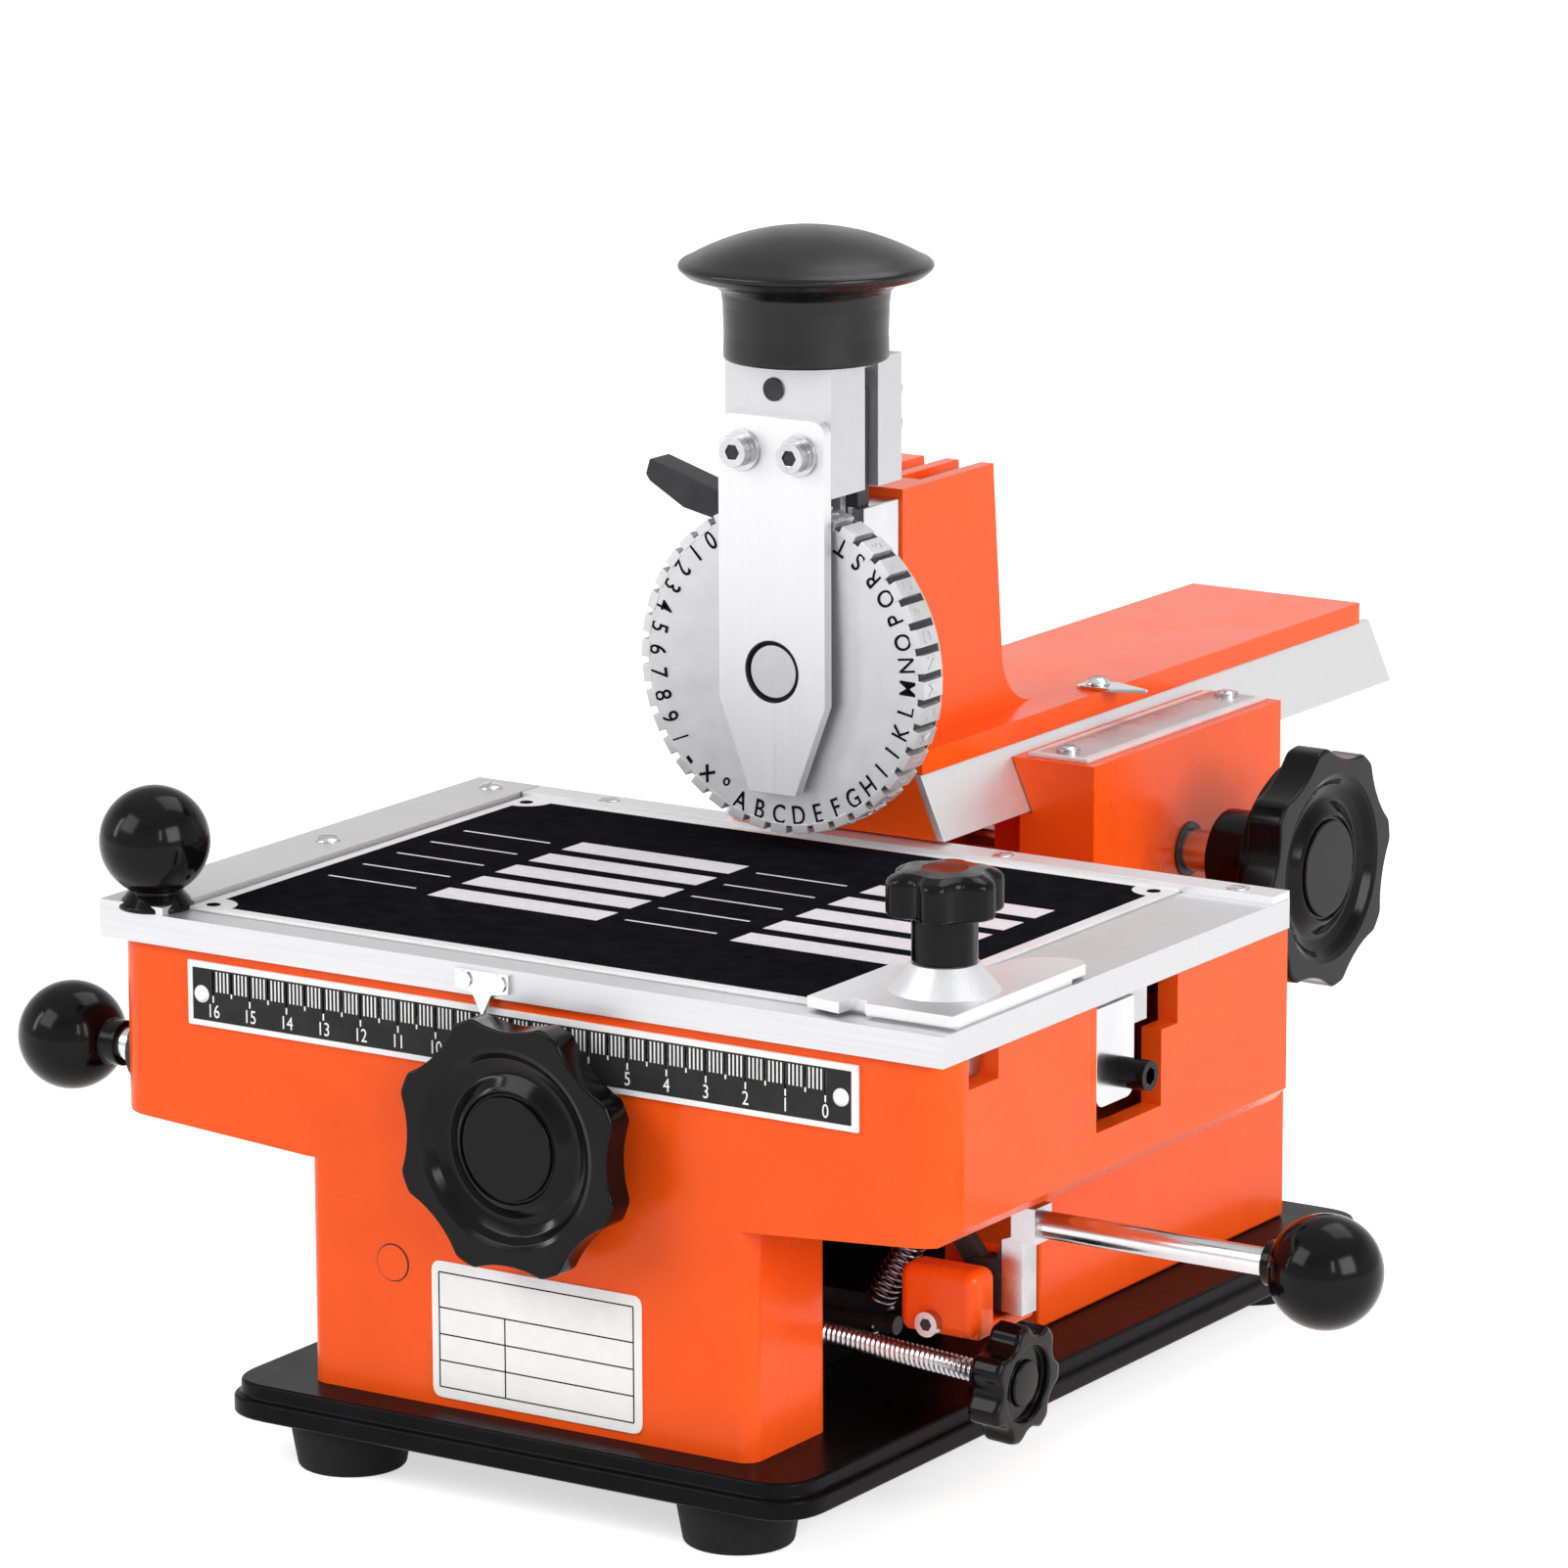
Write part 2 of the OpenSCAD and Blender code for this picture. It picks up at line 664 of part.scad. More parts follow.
module bushes() {
  color(steel) placed() {
    difference() {
      union() {
        rod_y(front_shaft_x, front_y, front_y + wall, front_shaft_z, 8);
        rod_y(front_shaft_x, front_y - 2, front_y, front_shaft_z, 10);
      }
      rod_y(front_shaft_x, front_y - 3, front_y + wall + 1, front_shaft_z, shaft_d / 2 + run_play);
    }
    difference() {
      rod_x(way_side_x - 10, way_side_x + 0.5, side_shaft_y, side_shaft_z, side_bush_r);
      rod_x(way_side_x - 11, way_side_x + 1, side_shaft_y, side_shaft_z, shaft_d / 2 + run_play);
    }
    difference() {
      union() {
        rod_x(body_x0, body_x0 + wall, release_y, release_z, 6.5);
        rod_x(body_x0 - 2, body_x0, release_y, release_z, 8);
      }
      rod_x(body_x0 - 3, body_x0 + wall + 1, release_y, release_z, release_d / 2 + run_play);
    }
  }
}

// A fork that holds the step lever's pin, on an arm from the inner pedestal
module lever_bracket() {
  color(orange) placed() difference() {
    union() {
      box(inner_right_x, bracket_x1, lever_y + 5, lever_y + 11, bracket_low, bracket_top);
      box(bracket_x0, bracket_x1, bracket_front_y, lever_y - 4, bracket_low, bracket_top);
      box(bracket_x0, bracket_x1, bracket_front_y, lever_y + 11, bracket_low, bracket_low + 3);
    }
    rod_y(pivot_x, bracket_front_y - 1, lever_y + 12, pivot_z, pin_d / 2);
    rod_y(bracket_screw_x, bracket_front_y - 1, bracket_front_y + 6, bracket_screw_z, 1.5);
  }
}

module lever_pins() {
  color(steel) placed() {
    rod_y(pivot_x, bracket_front_y - 0.5, lever_y + 11, pivot_z, pin_d / 2);
    rod_x(inner_right_x - 10, spring_post_x + 4, lever_y, spring_post_z, spring_post_r);
  }
}

module work_table() {
  color(bright) placed() difference() {
    box(table_x0, table_x1, table_front_y, body_back_y, table_low, table_top);
    table_screw_spots() translate([0, 0, -5]) cylinder(h = 6, r = 1.6);
    rod_z(clamp_x, clamp_y, table_low + 2, table_top + 1, stud_d / 2);
    for (s = [-1, 1])
      rod_y(-11.5 + s * 4.5, table_front_y - 1, table_front_y + 4, 117.4, 1);
  }
}

module table_screw_spots() {
  for (y = [front_y + 72, front_y + 137])
    translate([table_x0 + clamp_bar_w / 2, y, bar_top]) children();
  for (x = [table_x0 + 40, 32, table_x1 - 11])
    translate([x, body_back_y - fence_w / 2, bar_top]) children();
}

module table_screws() {
  color(steel) placed() table_screw_spots() difference() {
    union() {
      translate([0, 0, -1.2]) cylinder(h = 1.2, r1 = 1.6, r2 = 2.8);
      translate([0, 0, -5]) cylinder(h = 3.8, r = 1.6);
    }
    translate([-3, -0.35, -0.6]) cube([6, 0.7, 1]);
  }
}

module screw_seats() {
  table_screw_spots() {
    translate([0, 0, -1.2]) cylinder(h = 1.2, r1 = 1.6, r2 = 2.8);
    translate([0, 0, -5]) cylinder(h = 5, r = 1.6);
  }
}

module table_slides() {
  color(steel) placed() {
    box(slide_x0, slide_x1, slide_front_y, slide_front_y + slide_w, slide_low, table_low);
    box(short_slide_x0, short_slide_x1, slide_rear_y, slide_rear_y + slide_w, slide_low, table_low);
  }
}

// One tooth of a rack or pinion, standing on the pitch line
module tooth(m) {
  half = 0.2 * PI * m;
  lean = tan(20);
  polygon([[-half - 1.1 * m * lean, -1.1 * m], [half + 1.1 * m * lean, -1.1 * m],
    [half - 0.8 * m * lean, 0.8 * m], [-half + 0.8 * m * lean, 0.8 * m]]);
}

module pinion_flat(m, n) {
  circle(r = m * n / 2 - m);
  for (i = [0 : n - 1])
    rotate(90 + i * 360 / n) translate([m * n / 2, 0]) rotate(-90) tooth(m);
}

module table_rack() {
  pitch = PI * front_module;
  line_z = front_shaft_z + front_pitch_r;
  color(steel) placed() union() {
    box(rack_x0, rack_x1, rack_front_y, rack_front_y + rack_w, line_z + front_module, table_low);
    for (i = [ceil((rack_x0 - front_shaft_x) / pitch) : floor((rack_x1 - front_shaft_x) / pitch) - 1])
      translate([front_shaft_x + (i + 0.5) * pitch, rack_front_y + rack_w, line_z]) rotate([90, 0, 0])
        linear_extrude(height = rack_w) rotate(180) tooth(front_module);
  }
}

module stop_bracket() {
  color([0.85, 0.85, 0.84]) placed() difference() {
    union() {
      box(rack_x1, rack_x1 + 1.6, rack_front_y - 2, rack_front_y + 14, 93.5, table_low - 1);
      box(rack_x1, rack_x1 + 1.6, rack_front_y + 1, rack_front_y + 11, 90.5, 93.5);
      for (y = [rack_front_y + 1, rack_front_y + 11])
        rod_x(rack_x1, rack_x1 + 1.6, y, 93.5, 3);
    }
    rod_x(rack_x1 - 1, rack_x1 + 3, rack_front_y + 10, 96.3, 2.5);
  }
}

module stop_screw() {
  color(dark_steel) placed() difference() {
    union() {
      rod_x(rack_x1 - 4, rack_x1 + 1.6, rack_front_y + 10, 96.3, 2.5);
      rod_x(rack_x1 + 1.6, rack_x1 + 8, rack_front_y + 10, 96.3, 3.4);
    }
    translate([rack_x1 + 5.5, rack_front_y + 10, 96.3]) rotate([0, 90, 0]) cylinder(h = 5, r = 2, $fn = 6);
  }
}

module table_pointer() {
  color(bright) placed() difference() {
    run_y(table_front_y - 1, table_front_y, [[-18.5, 119.6], [-18.5, 115.4], [-14, 114.6], [-11.5, 109.6],
      [-9, 114.6], [-4.5, 115.4], [-4.5, 119.6]]);
    for (s = [-1, 1])
      rod_y(-11.5 + s * 4.5, table_front_y - 2, table_front_y + 1, 117.4, 1);
  }
}

module pointer_rivets() {
  color(steel) placed() for (s = [-1, 1]) {
    rod_y(-11.5 + s * 4.5, table_front_y - 1, table_front_y + 4, 117.4, 1);
    rod_y(-11.5 + s * 4.5, table_front_y - 1.5, table_front_y - 1, 117.4, 1.9);
  }
}

module left_clamp_bar() {
  color(bright) placed() difference() {
    box(table_x0, table_x0 + clamp_bar_w, table_front_y, body_back_y, table_top, bar_top);
    screw_seats();
    rod_z(-105, front_y + 5, table_top - 1, bar_top + 1, 3);
  }
}

module clamp_ball() {
  color(black_plastic) placed() union() {
    translate([-105, front_y + 5, 135.6]) sphere(r = ball_d / 2);
    translate([-105, front_y + 5, bar_top]) cylinder(h = 3.6, r1 = 8.5, r2 = 6.5);
    rod_z(-105, front_y + 5, table_top, bar_top, 3);
  }
}

module rear_fence() {
  color([0.82, 0.83, 0.83]) placed() difference() {
    box(table_x0 + clamp_bar_w + 0.3, table_x1, body_back_y - fence_w, body_back_y, table_top, bar_top);
    screw_seats();
  }
}

module sample_plate() {
  color([0.1, 0.1, 0.1]) placed() difference() {
    box(plate_x0, plate_x1, plate_y0, plate_y1, table_top, plate_top);
    for (x = [plate_x0 + 4, plate_x1 - 4])
      for (y = [plate_y0 + 4, plate_y1 - 5])
        rod_z(x, y, table_top - 1, plate_top + 1, 1.6);
  }
}

module corner_clamp() {
  color(bright) placed() difference() {
    union() {
      translate([clamp_x, clamp_y, clamp_low]) linear_extrude(height = clamp_t)
        polygon([[-21.3, -20.5], [-12.5, -22], [-12, -17.5], [-8, -17.5], [-7.5, -19.5], [14, -19.5],
          [14, clamp_reach - 2.5], [11.5, clamp_reach], [7, clamp_reach], [2, 0.92 * clamp_reach],
          [-1.5, 0.78 * clamp_reach], [-3, 0.38 * clamp_reach], [-21.3, 0.38 * clamp_reach]]);
      box(plate_x1 + 0.3, clamp_x + 14, clamp_y - 18, clamp_y + 0.36 * clamp_reach, table_top, clamp_low);
      box(clamp_x, clamp_x + 14, clamp_y, clamp_y + 0.78 * clamp_reach, table_top, clamp_low);
      translate([clamp_x, clamp_y, clamp_top]) cylinder(h = cone_top - clamp_top, r1 = 12, r2 = 7.4);
    }
    rod_z(clamp_x, clamp_y, table_top - 1, cone_top + 1, stud_d / 2);
  }
}

module clamp_stud() {
  color(steel) placed() rod_z(clamp_x, clamp_y, table_low + 2, star_low + star_hub_h + 5, stud_d / 2);
}

// A disc with scalloped edge, lying in X and Y
module lobed_flat(d, n, cut_r, cut_in) {
  difference() {
    circle(r = d / 2);
    for (i = [0 : n - 1])
      rotate((i + 0.5) * 360 / n) translate([d / 2 + cut_r - cut_in, 0]) circle(r = cut_r);
  }
}

module star_knob() {
  head_low = star_low + star_hub_h;
  color(black_plastic) placed() difference() {
    union() {
      rod_z(clamp_x, clamp_y, star_low, head_low, star_hub_d / 2);
      translate([clamp_x, clamp_y, head_low]) linear_extrude(height = star_h - 1.5)
        lobed_flat(star_d, 6, 4, 2.6);
      translate([clamp_x, clamp_y, head_low + star_h - 1.5]) cylinder(h = 1.5, r1 = 9.4, r2 = 8);
    }
    rod_z(clamp_x, clamp_y, star_low - 1, head_low + 5.4, stud_d / 2 + run_play);
  }
}

// A handwheel that stands on its back face and looks along +Z
module handwheel(t, turn) {
  difference() {
    union() {
      translate([0, 0, 3]) linear_extrude(height = t - 3) rotate(turn)
        lobed_flat(wheel_d, wheel_lobes, scallop_r, scallop_in);
      cylinder(h = 3, r = wheel_d / 2 - 5);
    }
    translate([0, 0, t - 3]) difference() {
      cylinder(h = 4, r = wheel_d * 0.37);
      translate([0, 0, -1]) cylinder(h = 6, r = wheel_d * 0.235);
    }
    translate([0, 0, -1]) cylinder(h = t - 4, r = shaft_d / 2);
  }
}

module front_handwheel() {
  color(black_plastic) placed() translate([front_shaft_x, front_wheel_back_y, front_shaft_z])
    rotate([90, 0, 0]) handwheel(front_wheel_t, 180 / wheel_lobes);
}

module front_shaft() {
  color(steel) placed() union() {
    rod_y(front_shaft_x, front_wheel_back_y - front_wheel_t + 5, rack_front_y + rack_w + 8.6, front_shaft_z,
      shaft_d / 2);
    translate([front_shaft_x, rack_front_y + rack_w - 2, front_shaft_z]) rotate([90, 0, 0])
      linear_extrude(height = rack_w - 4) pinion_flat(front_module, front_teeth);
  }
}

module head_casting() {
  core_top = tail_top_hw - strip_t;
  core_low = tail_low_hw - strip_t;
  color(orange) placed() difference() {
    union() {
      run_y(beam_front_y, beam_back_y, [[head_x - beam_w / 2, beam_top], [head_x - beam_w / 2, tail_top],
        [head_x - core_top, tail_top], [head_x - core_low, tail_low], [head_x + core_low, tail_low],
        [head_x + core_top, tail_top], [head_x + beam_w / 2, tail_top], [head_x + beam_w / 2, beam_top]]);
      run_x(head_x - arm_w / 2, head_x + arm_w / 2, [[arm_front_y, beam_top - 1], [arm_back_y, beam_top - 1],
        [arm_back_y, beam_top + arm_fillet_r], [arm_back_y - arm_draft, arm_top], [arm_front_y, arm_top]]);
      difference() {
        box(head_x - arm_w / 2, head_x + arm_w / 2, arm_back_y - 1, arm_back_y + arm_fillet_r, beam_top - 1,
          beam_top + arm_fillet_r);
        rod_x(head_x - arm_w / 2 - 1, head_x + arm_w / 2 + 1, arm_back_y + arm_fillet_r,
          beam_top + arm_fillet_r, arm_fillet_r);
      }
    }
    for (k = [0, 1])
      box(head_x + arm_w / 2 - (k + 1) * arm_w / 3, head_x + arm_w / 2 - k * arm_w / 3 - rib_t,
        arm_front_y + 13, arm_back_y + 1, arm_top - rib_deep, arm_top + 1);
    box(head_x - head_rack_hw, head_x + head_rack_hw, head_rack_y0, head_rack_y1, tail_low - 1,
      head_rack_top);
    rod_z(mark_x, mark_y, beam_top - 5, beam_top + 1, 1.5);
  }
}

module dovetail_strips() {
  color(bright) placed() for (s = [-1, 1])
    run_y(beam_front_y, beam_back_y + strip_over, [[head_x + s * (tail_top_hw - strip_t), tail_top],
      [head_x + s * tail_top_hw, tail_top], [head_x + s * tail_low_hw, tail_low],
      [head_x + s * (tail_low_hw - strip_t), tail_low]]);
}

module head_rack() {
  pitch = PI * side_module;
  line_z = side_shaft_z + side_pitch_r;
  color(steel) placed() union() {
    box(head_x - head_rack_hw, head_x + head_rack_hw, head_rack_y0, head_rack_y1, line_z + side_module,
      head_rack_top);
    for (i = [ceil((head_rack_y0 - side_shaft_y) / pitch) :
      floor((head_rack_y1 - side_shaft_y) / pitch) - 1])
      translate([head_x - head_rack_hw, side_shaft_y + (i + 0.5) * pitch, line_z]) rotate([90, 0, 90])
        linear_extrude(height = 2 * head_rack_hw) rotate(180) tooth(side_module);
  }
}

module beam_pointer() {
  color(bright) placed() difference() {
    union() {
      box(mark_x - 5, mark_x + 6, mark_y - 4, mark_y + 4, beam_top, beam_top + 0.8);
      box(mark_x + 5, mark_x + 6, mark_y - 2, mark_y + 2, way_top + 2, beam_top);
      translate([mark_x + 6, mark_y, way_top + 2]) linear_extrude(height = 0.8)
        polygon([[0, -2], [7, -0.2], [7, 0.2], [0, 2]]);
    }
    rod_z(mark_x, mark_y, beam_top - 1, beam_top + 2, 1.5);
  }
}

module beam_screw() {
  color(steel) placed() difference() {
    union() {
      rod_z(mark_x, mark_y, beam_top - 5, beam_top + 0.8, 1.5);
      rod_z(mark_x, mark_y, beam_top + 0.8, beam_top + 2.2, 3);
    }
    box(mark_x - 4, mark_x + 4, mark_y - 0.4, mark_y + 0.4, beam_top + 1.5, beam_top + 3);
  }
}

module guide_block() {
  color(bright) placed() box(head_x - 13.6, head_x + 13.6, slot_front_y + 0.5, arm_front_y, 186, guide_top_z);
}

module guide_bar() {
  color(dark_steel) placed() box(head_x - 12, head_x + 12, slot_front_y + 0.4, slot_back_y - 0.3, guide_top_z,
    guide_bar_top);
}

module side_handwheel() {
  color(black_plastic) placed() union() {
    translate([side_wheel_x0, side_shaft_y, side_shaft_z]) rotate([0, 90, 0]) handwheel(side_wheel_t, 8);
    difference() {
      rod_x(side_wheel_x0 - side_hub_len, side_wheel_x0, side_shaft_y, side_shaft_z, 11);
      rod_x(side_wheel_x0 - side_hub_len - 1, side_wheel_x0 + 1, side_shaft_y, side_shaft_z, shaft_d / 2);
    }
  }
}

module side_shaft() {
  color(steel) placed() union() {
    rod_x(head_x - 19, side_wheel_x1 - 5, side_shaft_y, side_shaft_z, shaft_d / 2);
    translate([head_x - 5.5, side_shaft_y, side_shaft_z]) rotate([90, 0, 90])
      linear_extrude(height = 11) pinion_flat(side_module, side_teeth);
  }
}

module ram_column() {
  color(bright) placed() difference() {
    union() {
      box(ram_x0, ram_x1, ram_front_y, slot_front_y, ram_low, ram_top);
      box(ram_x0, ram_x1, slot_back_y, ram_back_y, ram_low, ram_top);
      box(ram_x0 + 3, ram_x1 - 3, slot_front_y, slot_back_y, ram_top - 2.5, ram_top);
      box(head_x - 9, head_x + 9, rear_plate_y0, slot_front_y, type_z - 9, ram_low);
      box(lug_x - 5, ram_x0, 27, ram_back_y - 0.6, lug_z - 5, ram_low + 8);
    }
    rod_y(head_x, rear_plate_y0 - 1, slot_front_y + 1, type_z, 5);
    rod_z(head_x, ram_bore_y, ram_low - 1, ram_bore_top, 3.95);
    rod_y(head_x - 1, ram_front_y - 1, ram_front_y + 8, ram_top - 5.7, 2.6);
    for (s = [-1, 1])
      rod_y(head_x + s * 7.6, ram_front_y - 1, ram_front_y + 8, 214.4, 2);
    for (z = [217, 225])
      rod_y(head_x + 10, ram_back_y - 6, ram_back_y + 1, z, 1.5);
    rod_y(lug_x, 26, ram_back_y, lug_z, pin_d / 2);
  }
}

module ram_screws() {
  color(steel) placed() {
    difference() {
      rod_y(head_x - 1, ram_front_y - 0.2, ram_front_y + 8, ram_top - 5.7, 2.6);
      translate([head_x - 1, ram_front_y + 3, ram_top - 5.7]) rotate([90, 0, 0])
        cylinder(h = 4, r = 1.5, $fn = 6);
    }
    for (s = [-1, 1]) difference() {
      union() {
        rod_y(head_x + s * 7.6, ram_front_y - arm_plate_t, ram_front_y + 8, 214.4, 2);
        rod_y(head_x + s * 7.6, ram_front_y - arm_plate_t - 1, ram_front_y - arm_plate_t, 214.4, 4.8);
        rod_y(head_x + s * 7.6, ram_front_y - arm_plate_t - 4.4, ram_front_y - arm_plate_t - 1, 214.4, 3.5);
      }
      translate([head_x + s * 7.6, ram_front_y - arm_plate_t - 2, 214.4]) rotate([90, 0, 0])
        cylinder(h = 4, r = 1.9, $fn = 6);
    }
    for (z = [217, 225]) {
      rod_y(head_x + 10, ram_back_y - 6, ram_back_y, z, 1.5);
      rod_y(head_x + 10, ram_back_y, ram_back_y + 3, z, 2.8);
    }
  }
}

module wheel_plate() {
  tip_hw = arm_plate_tip_w / 2;
  r = 3;
  color(bright) placed() difference() {
    union() {
      run_y(ram_front_y - arm_plate_t, ram_front_y, [[ram_x0, arm_plate_top - r], [ram_x0, arm_plate_taper_z],
        [head_x - tip_hw, arm_plate_tip_z], [head_x + tip_hw, arm_plate_tip_z], [ram_x1, arm_plate_taper_z],
        [ram_x1, arm_plate_top - r]]);
      box(ram_x0 + r, ram_x1 - r, ram_front_y - arm_plate_t, ram_front_y, arm_plate_top - r, arm_plate_top);
      for (x = [ram_x0 + r, ram_x1 - r])
        rod_y(x, ram_front_y - arm_plate_t, ram_front_y, arm_plate_top - r, r);
    }
    rod_y(head_x, ram_front_y - arm_plate_t - 1, ram_front_y + 1, type_z, axle_d / 2 + 1.2);
    for (s = [-1, 1])
      rod_y(head_x + s * 7.6, ram_front_y - arm_plate_t - 1, ram_front_y + 1, 214.4, 2);
  }
}

module wheel_axle() {
  color(steel) placed() union() {
    rod_y(head_x, ram_front_y - arm_plate_t + 0.7, rear_plate_y0, type_z, axle_d / 2);
    rod_y(head_x, rear_plate_y0, slot_front_y, type_z, 5);
  }
}

module press_knob() {
  dome_r = (cap_d * cap_d / 4 + cap_dome_h * cap_dome_h) / (2 * cap_dome_h);
  rim_z = ram_top + neck_h + cap_low_h;
  color(black_plastic) placed() translate([head_x, knob_y, 0]) union() {
    translate([0, 0, ram_top]) cylinder(h = neck_h, r = neck_d / 2);
    translate([0, 0, ram_top + neck_h]) cylinder(h = cap_low_h, r1 = neck_d / 2, r2 = cap_d / 2);
    translate([0, 0, rim_z]) cylinder(h = 1.5, r = cap_d / 2);
    intersection() {
      translate([0, 0, rim_z + 1.5 + cap_dome_h - dome_r]) sphere(r = dome_r);
      translate([0, 0, rim_z + 1.5]) cylinder(h = cap_dome_h + 1, r = cap_d / 2);
    }
  }
}

module index_pin() {
  color(steel) placed() union() {
    rod_y(lug_x, 18, ram_back_y - 0.6, lug_z, pin_d / 2);
    rod_y(lug_x, 17, 18, lug_z, 4);
  }
}

module index_lever() {
  color(dark_steel) placed() translate([lug_x, 0, lug_z]) rotate([0, index_tilt, 0]) difference() {
    union() {
      rod_y(0, 18.4, 26.6, 0, 5);
      run_y(18.4, 26.6, [[0, 5], [-6, 0.2], [-index_len, 0.2], [-index_len, -3.7], [-index_len + 1.5, -4.9],
        [-index_len + 12, -7.3], [-4, -6.5], [0, -5]]);
    }
    rod_y(0, 17, 28, 0, pin_d / 2 + run_play);
  }
}

module type_wheel() {
  color(bright) placed() translate([head_x, type_front_y, type_z]) rotate([-90, 0, 0]) difference() {
    cylinder(h = type_t, r = type_d / 2);
    translate([0, 0, -1]) cylinder(h = type_t + 2, r = axle_d / 2 + run_play);
    translate([0, 0, 4]) difference() {
      cylinder(h = type_t, r = type_d / 2 - notch_deep - 1.5);
      translate([0, 0, -1]) cylinder(h = type_t, r = 11);
    }
    for (i = [0 : type_count - 1])
      rotate((i + 0.5) * 360 / type_count) translate([type_d / 2 - notch_deep, -notch_w / 2, -1])
        cube([notch_deep + 2, notch_w, type_t + 2]);
  }
}

module step_lever() {
  color(bright) placed() difference() {
    union() {
      box(pivot_x + 8, pivot_x + 14, lever_y - 3.5, lever_y + 3.5, lever_rod_z - 4, lever_rod_z + 4);
      rod_y(pivot_x, lever_y - 3, lever_y + 3, pivot_z, 5.5);
      run_y(lever_y - 3, lever_y + 3, [[pivot_x, pivot_z - 5], [pivot_x + 10.5, pivot_z - 6],
        [pivot_x + 10.5, lever_rod_z - 2], [pivot_x + 5.5, lever_rod_z - 4],
        [pivot_x + 4, pivot_z + 6], [pivot_x, pivot_z + 5.3]]);
      run_y(lever_y - 1.5, lever_y + 1.5, [[pivot_x, pivot_z - 3], [pivot_x, pivot_z + 5],
        [spring_hole_x + 3, spring_hole_z + 3], [spring_hole_x - 3, spring_hole_z + 3],
        [spring_hole_x - 3, spring_hole_z - 2.4], [spring_hole_x + 2, spring_hole_z - 2.4]]);
      rod_x(pivot_x + 14, lever_ball_x - ball_d / 2 + 3, lever_y, lever_rod_z, lever_rod_d / 2);
    }
    rod_y(pivot_x, lever_y - 6, lever_y + 6, pivot_z, pin_d / 2 + run_play);
    rod_y(spring_hole_x, lever_y - 6, lever_y + 6, spring_hole_z, 2 * wire_d);
  }
}

module lever_ball() {
  color(black_plastic) placed() difference() {
    union() {
      translate([lever_ball_x, lever_y, lever_rod_z]) sphere(r = ball_d / 2);
      rod_x(lever_ball_x - ball_d / 2 - 1, lever_ball_x, lever_y, lever_rod_z, 5.5);
    }
    rod_x(lever_ball_x - ball_d, lever_ball_x - ball_d / 2 + 3, lever_y, lever_rod_z, lever_rod_d / 2);
  }
}

// A ring of six points round a wire's centre c, spread along the directions a and b
function ring(c, a, b) = [for (k = [0 : 5]) c + wire_d / 2 * (cos(60 * k) * a + sin(60 * k) * b)];

// Centres and directions along a coil of n curls, eight steps to a curl
function coil(r, n, h) = [for (i = [0 : 8 * n]) let (t = 45 * i)
  [[r * cos(t), r * sin(t), h * i / (8 * n)], [cos(t), sin(t), 0], [0, 0, 1]]];

// Hooks at the foot and the head of a coil, in the plane that touches its side
function foot_hook(r, q) = [for (t = [-270 : 30 : -30])
  [[r, q * sin(t), q * cos(t) - q], [1, 0, 0], [0, sin(t), cos(t)]]];
function head_hook(r, h, q) = [for (t = [30 : 30 : 270])
  [[r, q * sin(t), h + q - q * cos(t)], [1, 0, 0], [0, -sin(t), cos(t)]]];

function least_gap(path) = min([for (i = [0 : len(path) - 7]) for (j = [i + 6 : len(path) - 1])
  norm(path[i][0] - path[j][0])]) - wire_d;

module tube(path) {
  n = len(path);
  points = [for (p = path) each ring(p[0], p[1], p[2])];
  side = [for (i = [0 : n - 2]) for (k = [0 : 5]) let (a = 6 * i + k, b = 6 * i + (k + 1) % 6)
    each [[a, a + 6, b], [b, a + 6, b + 6]]];
  ends = [for (k = [1 : 4]) each [[0, k, k + 1], [6 * n - 6, 6 * n - 5 + k, 6 * n - 6 + k]]];
  polyhedron(points = points, faces = concat(side, ends));
}

lever_spring_low = [spring_post_x, lever_y, spring_post_z + 0.45];
lever_spring_top = [spring_hole_x, lever_y, spring_hole_z];
lever_spring_run = norm(lever_spring_top - lever_spring_low) - 0.55;
lever_hook_r = 3.6;
lever_coil_h = lever_spring_run - 3 * lever_hook_r;
lever_path = concat(foot_hook(lever_coil_r, lever_hook_r), coil(lever_coil_r, lever_curls, lever_coil_h),
  head_hook(lever_coil_r, lever_coil_h, lever_hook_r));
ram_path = coil(ram_coil_r, ram_curls, ram_bore_top - guide_top_z - wire_d);

module return_spring() {
  lean = atan2(lever_spring_top[0] - lever_spring_low[0], lever_spring_top[2] - lever_spring_low[2]);
  echo(lever_spring_gap = least_gap(lever_path));
  color(steel) placed() translate(lever_spring_low) rotate([0, lean, 0])
    translate([-lever_coil_r, 0, lever_hook_r]) tube(lever_path);
}

module ram_spring() {
  echo(ram_spring_gap = least_gap(ram_path));
  color(steel) placed() translate([head_x, ram_bore_y, guide_top_z + wire_d / 2]) tube(ram_path);
}

module along_spacer() {
  translate([inner_right_x, spacer_y, spacer_z]) rotate([0, 90 + spacer_tilt, 0]) children();
}

module spacer_screw() {
  color(steel) placed() along_spacer() translate([0, 0, -13.5])
    cylinder(h = 13.5 + spacer_reach + 4, r = spacer_d / 2);
}

module spacer_knob() {
  color(black_plastic) placed() along_spacer() translate([0, 0, spacer_reach]) difference() {
    union() {
      cylinder(h = 3, r = 7);
      translate([0, 0, 3]) linear_extrude(height = 8) lobed_flat(spacer_knob_d, 7, 4.5, 2.4);
    }
    translate([0, 0, -1]) cylinder(h = 5, r = spacer_d / 2);
    translate([0, 0, 9]) difference() {
      cylinder(h = 4, r = 8.5);
      translate([0, 0, -1]) cylinder(h = 6, r = 5);
    }
  }
}

module release_rod() {
  color(bright) placed() union() {
    rod_x(release_rod_end + 0.05, body_x0 + 22, release_y, release_z, release_d / 2);
    rod_x(body_x0 + 16, body_x0 + 20, release_y, release_z, 5.2);
  }
}

